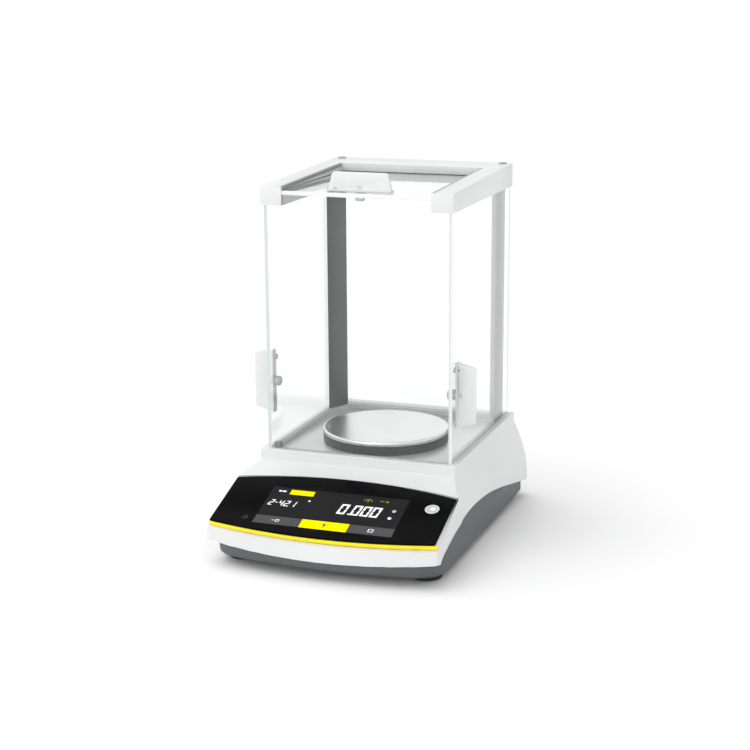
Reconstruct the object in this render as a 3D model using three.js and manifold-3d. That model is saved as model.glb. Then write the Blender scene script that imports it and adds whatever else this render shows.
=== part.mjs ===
// Analytical balance with a glass draught shield.
// Millimetres, +Z up. X is the width (symmetric about 0), -Y is the front with the display,
// Z = 0 is the table under the feet. Every piece is a closed solid in its own named mesh.
import * as THREE from 'three';
import { mergeVertices } from 'three/addons/utils/BufferGeometryUtils.js';
import Module from 'manifold-3d';

// ---- Clearances -----------------------------------------------------------------------------
const GAP = 0.3;            // between pieces that touch or are cut by each other
const RUN = 0.4;            // round a piece that slides or turns
const TOUCH_GAP = 0.2;      // between a screw and its bore, each side

// ---- Base housings --------------------------------------------------------------------------
const BASE_HALF_W = 109.5;  // half width over the lower edge
const FRONT_Y = -140.5;     // front corners of the lower edge
const FRONT_BOW = 12;       // forward bow of the front face at its lower edge
const FRONT_TOP_Y = -140;   // the same corners at the height of the panel edge
const FRONT_TOP_BOW = 8.6;  // the bow at that height
const FRONT_TOP_Z = 42;
const SHELL_LOW_Z = 18;     // lower edge of the white shell at the middle of the front
const SHELL_EDGE_RISE = 5.4; // that edge at the front corners, above its middle
const HOUSING_WALL = 3.2;
const CORNER_R = 6;         // front plan corners of the white shell
const REAR_CORNER_R = 2.5;
const TRAY_CORNER_R = 22;   // front plan corners of the dark tray
const TRAY_REAR_R = 8;
const TRAY_INSET = HOUSING_WALL + 0.9;
const TRAY_BOTTOM_Z = 6.5;
// The tray's front curves in under the shell: [height over its bottom, set back].
const TRAY_CHIN = [[0, 9], [1.5, 5], [4.5, 1.8], [10, 0]];
const TRAY_TOP_Z = 50;
const TRAY_WALL = 3;
const TRAY_BELOW_DECK = 11; // rim of the tray under the sloping deck
const FLARE_Z = 16;         // the sides are upright below this height and lean in above it

// ---- Platform that carries the draught shield -----------------------------------------------
const SHOULDER = 14.8;      // platform side, in from the base side
const PLATFORM_HALF_W = BASE_HALF_W - SHOULDER;
const PLATFORM_FRONT = -48.6;
const PLATFORM_DEPTH = 201.1;
const REAR_Y = PLATFORM_FRONT + PLATFORM_DEPTH;
const PLATFORM_TOP = 83.8;
const STEP = 10.6;          // height of the step at the platform's front
const DECK_TOP_Z = PLATFORM_TOP - STEP;
const REAR_SHOULDER_Z = DECK_TOP_Z + 1.3;
const DECK_SLOPE = THREE.MathUtils.degToRad(18.4);
const GROOVE_DEPTH = 2;     // glass grooves in the platform
const RECESS_DEPTH = 6.3;   // sunk floor of the chamber
const RECESS_WALL = 2.2;

// ---- Control panel, on the sloping deck (v runs up the slope from the step, w is its normal) --
const PANEL_EDGE = 4.4;     // panel side, in from the base side
const PANEL_HALF_W = BASE_HALF_W - PANEL_EDGE;
const PANEL_T = 2;
const PANEL_TOP_V = -30.9, PANEL_TOP_ARCH = 12.3;
const PANEL_LOW_V = -96.8, PANEL_LOW_ARCH = 9;
const PANEL_SEAT = PANEL_T + GAP;
const DECK_EDGE = 0.6;      // deck side, out from the panel side
const STRIP_H = 3.8, STRIP_T = 2;
const DISPLAY_FROM_SIDE = 40.1;
const DISPLAY_HALF_W = PANEL_HALF_W - DISPLAY_FROM_SIDE;
const DISPLAY_TOP_V = -39.3, DISPLAY_LOW_V = -94.4, DISPLAY_T = 6;
const DISPLAY_RIM = 2;      // margin of the display module past its window
const LEVEL_V = -49, LEVEL_FROM_SIDE = 17, LEVEL_R = 6, LEVEL_CUP_WALL = 1.4, LEVEL_H = 8;

// ---- Glass draught shield -------------------------------------------------------------------
const GLASS_T = 3;
const CHAMBER_H = 227;      // platform top to the underside of the rails
const RAIL_Z = PLATFORM_TOP + CHAMBER_H;
const DOOR_LEDGE = 5.7;     // door face, in from the platform side
const DOOR_OUT_X = PLATFORM_HALF_W - DOOR_LEDGE;
const DOOR_IN_X = DOOR_OUT_X - GLASS_T;
const FRONT_LIP = 5;        // platform in front of the front glass
const FRONT_GLASS_Y = PLATFORM_FRONT + FRONT_LIP;
const FRONT_GLASS_HALF_W = DOOR_OUT_X - 0.5;
const DOOR_FRONT_Y = FRONT_GLASS_Y + GLASS_T + RUN;
const DOOR_REAR_Y = REAR_Y - 4.5;
const RAIL_GROOVE_Z = 2.6;  // depth of the grooves under the rails
const REAR_GLASS_Y = REAR_Y - 16.5;
const REAR_GLASS_HALF_W = DOOR_IN_X - 1.5;
const SILL = 2;             // between the front glass groove and the sunk floor

// ---- Top frame ------------------------------------------------------------------------------
const RAIL_OUT_X = PLATFORM_HALF_W - 3.8;
const RAIL_W = 20.3;
const RAIL_IN_X = RAIL_OUT_X - RAIL_W;
const RAIL_CAP = 1.5;       // rail in front of the front glass
const RAIL_FRONT_Y = FRONT_GLASS_Y - RAIL_CAP - GAP;
const RAIL_REAR_Y = REAR_Y - 3.5;
const GLASS_LIFT = 10.5;    // underside of the top glass above the rails' underside
const RAIL_OVER_GLASS = 3.5;
const RAIL_H = GLASS_LIFT + GLASS_T + RAIL_OVER_GLASS; // at the front
const RAIL_RISE = 5.4;      // higher at the rear
const REAR_BAR_DEPTH = 40;
const REAR_BAR_Y = RAIL_REAR_Y - REAR_BAR_DEPTH;
const REAR_BAR_LIFT = 4.7;  // underside of the bar's front part, above the rails' underside
const TOP_GLASS_Z = RAIL_Z + GLASS_LIFT;
const TOP_GLASS_IN_RAIL = 6.4;
const TOP_GLASS_HALF_W = RAIL_IN_X + TOP_GLASS_IN_RAIL;
const TOP_GLASS_FRONT_Y = FRONT_GLASS_Y;
const TOP_GLASS_REAR_Y = RAIL_REAR_Y - 6;
const STRIP_RAIL_W = 2.2;
const STRIP_RAIL_H = RAIL_OVER_GLASS - RUN - 0.1;
const CAP_R = 4, CAP_H = 1.6, CAP_SINK = 0.8;

// ---- Columns --------------------------------------------------------------------------------
const COLUMN_OUT_X = DOOR_IN_X - 0.7;
const COLUMN_W = 11.6;      // across, at the inner edge
const COLUMN_FRONT = 29.3, COLUMN_EDGE = 5.8; // front and inner edges, ahead of the rear edge
const COLUMN_REAR_Y = REAR_GLASS_Y - 1.1;
const COLUMN_FRONT_Y = COLUMN_REAR_Y - COLUMN_FRONT;
const COLUMN_BORE_R = 2, COLUMN_BORE_L = 14;

// ---- Door grips -----------------------------------------------------------------------------
const GRIP_Z = 144.4;       // centre of the side grips
const GRIP_Y = -27;         // middle of the side grips
const TOP_GRIP_Y = -31;
const GRIP_ROOT = 60, GRIP_TIP = 52, GRIP_REACH = 18.2, GRIP_T = 3;
const GRIP_FOOT_W = 8, GRIP_FOOT_T = 2;
const KNOB_R = 4.6, KNOB_H = 4.5, KNOB_SHANK_R = 2, KNOB_SHANK_L = 7.5;
const PIN_OFFSET = 23, PIN_R = 1.8, PIN_HEAD_R = 2.6, PIN_HEAD_T = 1.2;
const TOP_GRIP_REACH = 17.4;

// ---- Pan and weighing system ----------------------------------------------------------------
const PAN_R = 60, PAN_T = 1.2, PAN_RIM = 4.2;
const PAN_Y = PLATFORM_FRONT + 84.6;
const PAN_TOP_Z = PLATFORM_TOP + 8;
const RECESS_Z = PLATFORM_TOP - RECESS_DEPTH;
const FLOOR_T = 1.2;
const SKIRT_WALL = 2.2;
const SUPPORT_R = 38, SUPPORT_T = 3.6, HUB_R = 9, HUB_BORE_R = 5.4;
const SUPPORT_HOLE_R = 16;
const RECEPTOR_PIN_R = 5, RECEPTOR_PLATE = 30, RECEPTOR_T = 4;
const CELL_W = 56, CELL_Z = 14, CELL_TOP_Z = 60;
const CELL_FRONT_Y = PAN_Y - 22;
const CELL_SLOT = 5;
const MAGNET_R = 17, MAGNET_H = 30, MAGNET_CLEAR = 1.5;
const SOCKET_DEPTH = 12, SOCKET_FLANGE = 1, SOCKET_MOUTH = 8, SOCKET_CLEAR = 7;
const MAGNET_Y = REAR_Y - SOCKET_DEPTH - SOCKET_CLEAR - MAGNET_R;
const CELL_L = MAGNET_Y - MAGNET_R - MAGNET_CLEAR - CELL_FRONT_Y;
const RECEPTOR_Z = CELL_TOP_Z + 2.5;

// ---- Feet, sockets, electronics, screws -----------------------------------------------------
const FOOT_X = BASE_HALF_W - 22.6, FOOT_Y = FRONT_Y + 33;
const PAD_R = 14, PAD_H = 3.4, PAD_STEM_R = 2.4, PAD_STEM_H = 8;
const WHEEL_R = 14.6, WHEEL_T = 3.6, WHEEL_TEETH = 18, STUD_R = 4.5, STUD_H = 26;
const FOOT_BOSS_R = 9, FOOT_BOSS_TOP = 34, FOOT_POCKET_R = 15.6, FOOT_POCKET_Z = TRAY_BOTTOM_Z + 5;
const REAR_FOOT_X = BASE_HALF_W - 27, REAR_FOOT_Y = REAR_Y - 35, REAR_FOOT_R = 11;
const REAR_STUD_R = 3, REAR_STUD_H = 5;
const HOOK_HOLE_R = 14, HOOK_COVER_R = 19, HOOK_COVER_T = 2;
const BOARD_L = 140, BOARD_T = 1.6, BOARD_Z = 20, BOARD_X = -(CELL_W / 2 + 8);
const BOARD_FROM_SIDE = 15.5;
const BOARD_W = BASE_HALF_W - BOARD_FROM_SIDE + BOARD_X;
const RIBBON_W = 20, RIBBON_T = 0.8;
const SOCKET_Z = 34;
const POWER_X = -70, POWER_R = 6, POWER_BORE_R = 3.1, POWER_PIN_R = 1.1;
const DATA_X = -40, DATA_W = 31, DATA_H = 12.5;
const USB_X = -10, USB_W = 12, USB_H = 6.4, USB_MOUTH_W = 9, USB_MOUTH_H = 3.3, USB_TONGUE = 0.8;
const SCREW_R = 1.8, SCREW_HEAD_R = 3.6, SCREW_HEAD_H = 3;
const POST_R = 5, POST_SPLIT = 46;
const HOUSING_SCREWS = [[BASE_HALF_W - 21.5, FRONT_Y + 72], [BASE_HALF_W - 22.5, REAR_Y - 16.5]];

// ---- Finishes -------------------------------------------------------------------------------
const finish = (color, roughness, metalness, extra = {}) =>
  new THREE.MeshStandardMaterial({ color, roughness, metalness, ...extra });
const WHITE = finish(0xeceded, 0.45, 0);
const TRAY_GREY = finish(0x55575a, 0.6, 0.2);
const PANEL_BLACK = finish(0x0b0c0e, 0.12, 0);
const YELLOW = finish(0xffe800, 0.4, 0);
const DARK = finish(0x2b2d30, 0.6, 0);
const GREY = finish(0x9b9d9f, 0.5, 0);
const STEEL = finish(0xc9cbcc, 0.28, 1);
const ALUMINIUM = finish(0xb8babd, 0.4, 1);
const GLASS = finish(0xe6f0ee, 0.05, 0, { transparent: true, opacity: 0.25 });
const BOARD_GREEN = finish(0x1f5a3c, 0.5, 0);
const RUBBER = finish(0x1d1e20, 0.8, 0);

// ---- Solids ---------------------------------------------------------------------------------
const wasm = await Module();
wasm.setup();

// A closed solid from a geometry, turned outside out where its faces point in.
function solid(geometry) {
  const bare = geometry.clone();
  bare.deleteAttribute('normal');
  bare.deleteAttribute('uv');
  const merged = mergeVertices(bare, 1e-4);
  const triVerts = new Uint32Array(merged.index.array);
  const vertProperties = new Float32Array(merged.attributes.position.array);
  if (signedVolume(vertProperties, triVerts) < 0) {
    for (let i = 0; i < triVerts.length; i += 3) {
      [triVerts[i], triVerts[i + 1]] = [triVerts[i + 1], triVerts[i]];
    }
  }
  return new wasm.Manifold(new wasm.Mesh({ numProp: 3, vertProperties, triVerts }));
}

function signedVolume(points, triangles) {
  const at = (i) => new THREE.Vector3().fromArray(points, 3 * triangles[i]);
  let volume = 0;
  for (let i = 0; i < triangles.length; i += 3) volume += at(i).dot(at(i + 1).cross(at(i + 2)));
  return volume / 6;
}

function geometryOf(body) {
  const mesh = body.getMesh();
  const geometry = new THREE.BufferGeometry();
  geometry.setAttribute('position', new THREE.BufferAttribute(new Float32Array(mesh.vertProperties), 3));
  geometry.setIndex(new THREE.BufferAttribute(new Uint32Array(mesh.triVerts), 1));
  geometry.computeVertexNormals();
  return geometry;
}

const join = (first, ...rest) => rest.reduce((body, next) => body.add(next), first);
const cut = (first, ...rest) => rest.reduce((body, next) => body.subtract(next), first);

// Prisms of a flat shape: (x, y) along Z, (x, z) along Y, (y, z) along X.
const AXIS_X = new THREE.Vector3(1, 0, 0);
const AXIS_Y = new THREE.Vector3(0, 1, 0);
const AXIS_Z = new THREE.Vector3(0, 0, 1);

function prism(shape, depth, steps) {
  return new THREE.ExtrudeGeometry(shape, { depth, bevelEnabled: false, curveSegments: steps });
}

function alongZ(shape, z0, z1, steps = 8) {
  return solid(prism(shape, z1 - z0, steps).translate(0, 0, z0));
}

function alongY(shape, y0, y1, steps = 8) {
  const turn = new THREE.Matrix4().makeBasis(AXIS_X, AXIS_Z, AXIS_Y.clone().negate());
  return solid(prism(shape, y1 - y0, steps).applyMatrix4(turn).translate(0, y1, 0));
}

function alongX(shape, x0, x1, steps = 8) {
  const turn = new THREE.Matrix4().makeBasis(AXIS_Y, AXIS_Z, AXIS_X);
  return solid(prism(shape, x1 - x0, steps).applyMatrix4(turn).translate(x0, 0, 0));
}

function polygon(points) {
  return new THREE.Shape(points.map(([a, b]) => new THREE.Vector2(a, b)));
}

const rectangle = (a0, b0, a1, b1) => polygon([[a0, b0], [a1, b0], [a1, b1], [a0, b1]]);

function circle(a, b, r) {
  const shape = new THREE.Shape();
  shape.absarc(a, b, r, 0, 2 * Math.PI);
  return shape;
}

function box(x0, x1, y0, y1, z0, z1) {
  return alongZ(rectangle(x0, y0, x1, y1), z0, z1);
}

const rod = (x, y, r, z0, z1, steps = 16) => alongZ(circle(x, y, r), z0, z1, steps);

// A turned piece: profile points are [radius, height], about a vertical axis at (x, y).
function turned(profile, x, y, steps = 32) {
  const points = profile.map(([r, z]) => new THREE.Vector2(r, z));
  const lathe = new THREE.LatheGeometry(points, steps).rotateX(Math.PI / 2);
  return solid(lathe.translate(x, y, 0));
}

// A skin over rings of points that lie one after the other, closed by flat ends.
function loft(rings, flat) {
  const count = rings[0].length;
  const index = [];
  for (let r = 0; r + 1 < rings.length; r += 1) {
    for (let i = 0; i < count; i += 1) {
      const j = (i + 1) % count;
      const [a, b] = [r * count + i, r * count + j];
      index.push(a, b, b + count, a, b + count, a + count);
    }
  }
  const ends = [[0, 1], [(rings.length - 1) * count, -1]];
  ends.forEach(([start, side]) => {
    const ring = rings[start / count].map(flat);
    THREE.ShapeUtils.triangulateShape(ring, []).forEach(([a, b, c]) => {
      const face = [start + a, start + b, start + c];
      index.push(...(side > 0 ? face.reverse() : face));
    });
  });
  const geometry = new THREE.BufferGeometry().setFromPoints(rings.flat());
  geometry.setIndex(index);
  return solid(geometry);
}

const mirrored = (body) => body.mirror([1, 0, 0]);

// ---- Assembly -------------------------------------------------------------------------------
const balance = new THREE.Group();
balance.name = 'analytical_balance';

function add(name, body, material) {
  const mesh = new THREE.Mesh(geometryOf(body), material);
  mesh.name = name;
  balance.add(mesh);
}

function addPair(name, body, material) {
  add(`${name}_right`, body, material);
  add(`${name}_left`, mirrored(body), material);
}

// ---- Housing outlines -----------------------------------------------------------------------
const deckZ = (y) => DECK_TOP_Z + (y - PLATFORM_FRONT) * Math.tan(DECK_SLOPE);

// The sides lean in from the base width to the width of the deck or the platform.
function housingBody(inset, lowZ) {
  const sideSteps = 5;
  const deckHalf = PANEL_HALF_W + DECK_EDGE;
  const panelCornerY = PLATFORM_FRONT + PANEL_TOP_V * Math.cos(DECK_SLOPE) + 3;
  const stations = [
    [FRONT_Y - FRONT_BOW - 2, deckHalf, deckZ(FRONT_Y - FRONT_BOW - 2)],
    [panelCornerY, deckHalf, deckZ(panelCornerY)],
    [PLATFORM_FRONT, PLATFORM_HALF_W, DECK_TOP_Z],
    [REAR_Y - inset, PLATFORM_HALF_W, REAR_SHOULDER_Z],
  ];
  const rings = stations.map(([y, topHalf, topZ]) => {
    const right = [[BASE_HALF_W - inset, lowZ]];
    for (let k = 0; k <= sideSteps; k += 1) {
      const u = k / sideSteps;
      const lean = (BASE_HALF_W - topHalf) * u * u;
      right.push([BASE_HALF_W - inset - lean, THREE.MathUtils.lerp(FLARE_Z, topZ - inset, u)]);
    }
    const left = right.map(([x, z]) => [-x, z]).reverse();
    return [...right, ...left].map(([x, z]) => new THREE.Vector3(x, y, z));
  });
  return loft(rings, (p) => new THREE.Vector2(p.x, p.z));
}

// Plan outline with a bowed front, for one height of the front face.
function planOutline(inset, cornerR, frontY, bow, rearR) {
  const half = BASE_HALF_W - inset;
  const front = frontY + inset;
  const rear = REAR_Y - inset;
  const r = Math.max(cornerR, 0.5);
  const q = Math.max(rearR, 0.5);
  const rim = (1 - r / half) ** 2;
  const cornerY = front - bow * (1 - rim);
  const bend = (steps, ...points) => new THREE.QuadraticBezierCurve(
    ...points.map(([x, y]) => new THREE.Vector2(x, y))).getPoints(steps);
  return [
    ...bend(4, [half, rear - q], [half, rear], [half - q, rear]),
    ...bend(4, [q - half, rear], [-half, rear], [-half, rear - q]),
    ...bend(4, [-half, front + r], [-half, front], [r - half, cornerY]).slice(0, -1),
    ...bend(10, [r - half, cornerY], [0, front - bow * (1 + rim)], [half - r, cornerY]),
    ...bend(4, [half - r, cornerY], [half, front], [half, front + r]).slice(1),
  ];
}

// A body with that outline at each height, its front set back there as the list says.
function planBody(inset, cornerR, rearR, z0, z1, chin = []) {
  const slope = (FRONT_TOP_Y - FRONT_Y) / (FRONT_TOP_Z - SHELL_LOW_Z);
  const bowSlope = (FRONT_TOP_BOW - FRONT_BOW) / (FRONT_TOP_Z - SHELL_LOW_Z);
  const lowBack = chin.length ? chin[0][1] : 0;
  const curve = chin.map(([up, back]) => [TRAY_BOTTOM_Z + up, back]);
  const levels = [[z0, lowBack], ...curve, [z1, 0]];
  const rings = levels.map(([z, back]) => {
    const up = z - SHELL_LOW_Z;
    const bow = Math.max(FRONT_BOW + bowSlope * up, 1);
    return planOutline(inset, cornerR, FRONT_Y + slope * up + back, bow, rearR)
      .map((p) => new THREE.Vector3(p.x, p.y, z));
  });
  return loft(rings, (p) => new THREE.Vector2(p.x, p.y));
}

const shellPlan = (inset, z0) => planBody(inset, CORNER_R, REAR_CORNER_R, z0, 90);
const trayPlan = (inset) => planBody(inset, TRAY_CORNER_R, TRAY_REAR_R, -6, 90, TRAY_CHIN);

// The lower edge of the white shell: arched along the sides, and rising to the corners in front.
function archCut() {
  const below = -20;
  const front = FRONT_Y - 2 * FRONT_BOW;
  const behind = FRONT_Y + HOUSING_WALL + 1.3;
  const corner = SHELL_LOW_Z + SHELL_EDGE_RISE;
  const wide = BASE_HALF_W + 5;
  const sides = new THREE.Shape();
  sides.moveTo(front, below);
  sides.lineTo(front, SHELL_LOW_Z - 1);
  sides.lineTo(behind, SHELL_LOW_Z - 1);
  sides.lineTo(behind, corner + 0.5);
  const arch = [[12, 27.8], [38, 34.8], [60, 39.2], [86, 41.4], [118, 42.3], [156, 40.3],
    [190, 35.6], [222, 29.6], [REAR_Y - FRONT_Y - 26, 20.2], [REAR_Y - FRONT_Y, 15.3]];
  sides.splineThru(arch.map(([y, z]) => new THREE.Vector2(FRONT_Y + y, z)));
  sides.lineTo(REAR_Y + 10, 15);
  sides.lineTo(REAR_Y + 10, below);
  const lip = new THREE.Shape();
  lip.moveTo(-wide, below);
  lip.lineTo(wide, below);
  const rise = SHELL_EDGE_RISE * (wide / BASE_HALF_W) ** 2;
  lip.lineTo(wide, SHELL_LOW_Z + rise);
  lip.quadraticCurveTo(0, SHELL_LOW_Z - rise, -wide, SHELL_LOW_Z + rise);
  return alongX(sides, -wide, wide, 4).add(alongY(lip, front, behind, 14));
}

// The sunk chamber floor, with its rear corners cut off in front of the columns.
function recessShape(grow) {
  const half = DOOR_IN_X - 1.8 + grow;
  const front = FRONT_GLASS_Y + GLASS_T + GAP + SILL - grow;
  const rear = REAR_GLASS_Y - 4.5 + grow;
  const cutX = COLUMN_W + 1.4;
  const cutY = COLUMN_FRONT - 2.3;
  return polygon([
    [-half, front], [half, front], [half, rear - cutY], [half - cutX, rear],
    [cutX - half, rear], [-half, rear - cutY],
  ]);
}

// Panel outlines on the deck: across x, up the slope v.
const onDeck = new THREE.Matrix4().makeTranslation(0, PLATFORM_FRONT, DECK_TOP_Z)
  .multiply(new THREE.Matrix4().makeRotationX(DECK_SLOPE));

function deckPrism(shape, w0, w1, steps = 10) {
  return solid(prism(shape, w1 - w0, steps).translate(0, 0, w0).applyMatrix4(onDeck));
}

function panelShape(grow, halfW = PANEL_HALF_W) {
  const shape = new THREE.Shape();
  shape.moveTo(-halfW, PANEL_LOW_V - grow);
  shape.quadraticCurveTo(0, PANEL_LOW_V - grow - 2 * PANEL_LOW_ARCH, halfW, PANEL_LOW_V - grow);
  shape.lineTo(halfW, PANEL_TOP_V + grow);
  shape.quadraticCurveTo(0, PANEL_TOP_V + grow + 2 * PANEL_TOP_ARCH, -halfW, PANEL_TOP_V + grow);
  return shape;
}

// ---- Base -----------------------------------------------------------------------------------
const recess = alongZ(recessShape(0), RECESS_Z, PLATFORM_TOP + 5);
const frontSlot = box(-FRONT_GLASS_HALF_W - GAP, FRONT_GLASS_HALF_W + GAP,
  FRONT_GLASS_Y - GAP, FRONT_GLASS_Y + GLASS_T + GAP, PLATFORM_TOP - GROOVE_DEPTH, PLATFORM_TOP + 5);
const rearSlot = box(-REAR_GLASS_HALF_W - GAP, REAR_GLASS_HALF_W + GAP,
  REAR_GLASS_Y - GAP, REAR_GLASS_Y + GLASS_T + GAP, PLATFORM_TOP - GROOVE_DEPTH, PLATFORM_TOP + 5);
const doorGroove = box(DOOR_IN_X - RUN, DOOR_OUT_X + RUN, DOOR_FRONT_Y - RUN, REAR_Y + 5,
  PLATFORM_TOP - GROOVE_DEPTH, PLATFORM_TOP + 5);
const columnAxis = [COLUMN_OUT_X - COLUMN_W * 0.27, COLUMN_REAR_Y - COLUMN_FRONT * 0.36];
const columnHole = rod(...columnAxis, COLUMN_BORE_R, PLATFORM_TOP - 20, PLATFORM_TOP + 5, 12);
const levelX = PANEL_HALF_W - LEVEL_FROM_SIDE;
const displayRim = rectangle(-DISPLAY_HALF_W - DISPLAY_RIM, DISPLAY_LOW_V - DISPLAY_RIM,
  DISPLAY_HALF_W + DISPLAY_RIM, DISPLAY_TOP_V + DISPLAY_RIM);
const displayWindow = rectangle(-DISPLAY_HALF_W - DISPLAY_RIM - GAP, DISPLAY_LOW_V - DISPLAY_RIM - GAP,
  DISPLAY_HALF_W + DISPLAY_RIM + GAP, DISPLAY_TOP_V + DISPLAY_RIM + GAP);

function bothSides(body) {
  return body.add(mirrored(body));
}

function upperHousing() {
  const platform = (inset) => box(inset - PLATFORM_HALF_W, PLATFORM_HALF_W - inset,
    PLATFORM_FRONT + inset, REAR_Y - inset, DECK_TOP_Z - STEP, PLATFORM_TOP - inset);
  const outside = join(housingBody(0, 0).intersect(shellPlan(0, -1)), platform(0));
  const bowl = alongZ(recessShape(RECESS_WALL), RECESS_Z - RECESS_WALL, PLATFORM_TOP);
  const inside = join(
    housingBody(HOUSING_WALL, -5).intersect(shellPlan(HOUSING_WALL, -6)),
    platform(HOUSING_WALL),
  ).subtract(bowl);
  const posts = HOUSING_SCREWS.map(([x, y]) =>
    rod(x, y, POST_R, POST_SPLIT, Math.min(deckZ(y), PLATFORM_TOP) - 1, 12));
  const bores = HOUSING_SCREWS.map(([x, y]) => rod(x, y, SCREW_R + TOUCH_GAP, 0, POST_SPLIT + 12, 6));
  const shell = cut(
    outside, inside.subtract(bothSides(join(...posts))), archCut(), recess, frontSlot, rearSlot,
    bothSides(join(...bores)), bothSides(doorGroove), bothSides(columnHole),
    rod(0, PAN_Y, SUPPORT_HOLE_R, RECESS_Z - 20, PLATFORM_TOP + 5, 32),
    deckPrism(panelShape(GAP, BASE_HALF_W + 5), -PANEL_SEAT, 20),
    deckPrism(stripRebate(), -PANEL_SEAT - STRIP_H - 2 * GAP, 20),
    deckPrism(displayWindow, -PANEL_SEAT - 20, 0),
    deckPrism(circle(levelX, LEVEL_V, LEVEL_R + LEVEL_CUP_WALL + GAP), -PANEL_SEAT - 20, 0),
    ...socketCuts(),
  );
  return shell;
}

// The band along the panel's lower edge that the accent strip fills.
function stripBand(inner, outer) {
  const shape = new THREE.Shape();
  const half = BASE_HALF_W + 5;
  const lift = (x) => PANEL_LOW_ARCH * (1 - (x / PANEL_HALF_W) ** 2);
  const edge = (v) => Array.from({ length: 21 }, (_, i) => {
    const x = half * (i / 10 - 1);
    return new THREE.Vector2(x, v - lift(x));
  });
  shape.setFromPoints([...edge(PANEL_LOW_V - outer), ...edge(PANEL_LOW_V + inner).reverse()]);
  return shape;
}

const stripRebate = () => stripBand(STRIP_T, 15);

function accentStrip() {
  const band = deckPrism(stripBand(STRIP_T - GAP, 0), -PANEL_SEAT - STRIP_H - GAP, -PANEL_SEAT - GAP / 3);
  return band.intersect(shellPlan(0.2, -1)).intersect(housingBody(0.2, 0));
}

function lowerHousing() {
  const slab = (z0, z1) => box(-BASE_HALF_W, BASE_HALF_W, FRONT_Y - 2 * FRONT_BOW, REAR_Y, z0, z1);
  const form = (inset, z0, z1) => housingBody(inset, -5)
    .intersect(trayPlan(inset)).intersect(slab(z0, z1));
  const tray = form(TRAY_INSET, TRAY_BOTTOM_Z, TRAY_TOP_Z)
    .subtract(form(TRAY_INSET + TRAY_WALL, TRAY_BOTTOM_Z + TRAY_WALL, TRAY_TOP_Z + 10))
    .subtract(deckPrism(rectangle(-200, -200, 200, 60), -TRAY_BELOW_DECK, 100));
  const z0 = TRAY_BOTTOM_Z;
  const floorZ = TRAY_BOTTOM_Z + TRAY_WALL;
  const posts = HOUSING_SCREWS.map(([x, y]) => rod(x, y, POST_R, z0, POST_SPLIT - GAP, 12));
  const heads = HOUSING_SCREWS.map(([x, y]) => join(
    rod(x, y, SCREW_HEAD_R + TOUCH_GAP, 0, z0 + 12, 10), rod(x, y, SCREW_R + TOUCH_GAP, 0, POST_SPLIT, 6)));
  const footBoss = join(rod(FOOT_X, FOOT_Y, FOOT_BOSS_R, z0, FOOT_BOSS_TOP),
    rod(FOOT_X, FOOT_Y, FOOT_POCKET_R + 2, z0, FOOT_POCKET_Z + 2, 16)
      .intersect(form(TRAY_INSET, z0, TRAY_TOP_Z)));
  const footBore = join(rod(FOOT_X, FOOT_Y, STUD_R + RUN, 0, FOOT_BOSS_TOP + 5),
    rod(FOOT_X, FOOT_Y, FOOT_POCKET_R, 0, FOOT_POCKET_Z, 16));
  const cellPads = cellScrewPlaces().map(([x, y]) => rod(x, y, POST_R, z0, CELL_Z - GAP, 14));
  const cellBores = cellScrewPlaces().map(([x, y]) => join(
    rod(x, y, SCREW_R + TOUCH_GAP, 0, CELL_Z + 5, 6),
    rod(x, y, SCREW_HEAD_R + TOUCH_GAP, 0, z0 + SCREW_HEAD_H + GAP, 10)));
  const rearFootBore = rod(REAR_FOOT_X, REAR_FOOT_Y, REAR_STUD_R + GAP, 0, floorZ + 10, 14);
  const boardPosts = boardPostPlaces().map(([x, y]) => rod(x, y, 3, floorZ - 1, BOARD_Z - GAP, 12));
  return cut(
    join(tray, bothSides(join(...posts, footBoss)), ...cellPads, ...boardPosts),
    bothSides(join(...heads, footBore, rearFootBore)), ...cellBores,
    rod(0, PAN_Y, HOOK_HOLE_R, 0, floorZ + 5, 20),
    rod(0, PAN_Y, HOOK_COVER_R + GAP, 0, z0 + HOOK_COVER_T + GAP, 20),
    rod(hookScrewX, PAN_Y, SCREW_R + TOUCH_GAP, 0, floorZ + 5, 8),
    ...socketCuts(),
  );
}

const hookScrewX = HOOK_HOLE_R + 2.2;

function cellScrewPlaces() {
  const dx = HOOK_COVER_R + SCREW_HEAD_R + 0.9;
  const y1 = CELL_FRONT_Y + CELL_L - 10;
  const y0 = y1 - 24;
  return [[dx, y0], [-dx, y0], [dx, y1], [-dx, y1]];
}

function boardPostPlaces() {
  const [y0, y1] = [boardRearY - BOARD_L + 6, boardRearY - 6];
  const [x0, x1] = [BOARD_X - BOARD_W + 6, BOARD_X - 6];
  return [[x0, y0], [x1, y0], [x0, y1], [x1, y1]];
}

// ---- Sockets on the rear wall ---------------------------------------------------------------
const socketRear = REAR_Y + SOCKET_FLANGE;
const boardRearY = REAR_Y - HOUSING_WALL - SOCKET_DEPTH - 8;

function socketCuts() {
  const [y0, y1] = [REAR_Y - 20, REAR_Y + 5];
  return [
    alongY(circle(POWER_X, SOCKET_Z, POWER_R + GAP), y0, y1, 20),
    alongY(centredRectangle(DATA_X, SOCKET_Z, DATA_W / 2 + GAP, DATA_H / 2 + GAP), y0, y1),
    alongY(centredRectangle(USB_X, SOCKET_Z, USB_W / 2 + GAP, USB_H / 2 + GAP), y0, y1),
  ];
}

const centredRectangle = (a, b, halfA, halfB) => rectangle(a - halfA, b - halfB, a + halfA, b + halfB);

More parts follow.
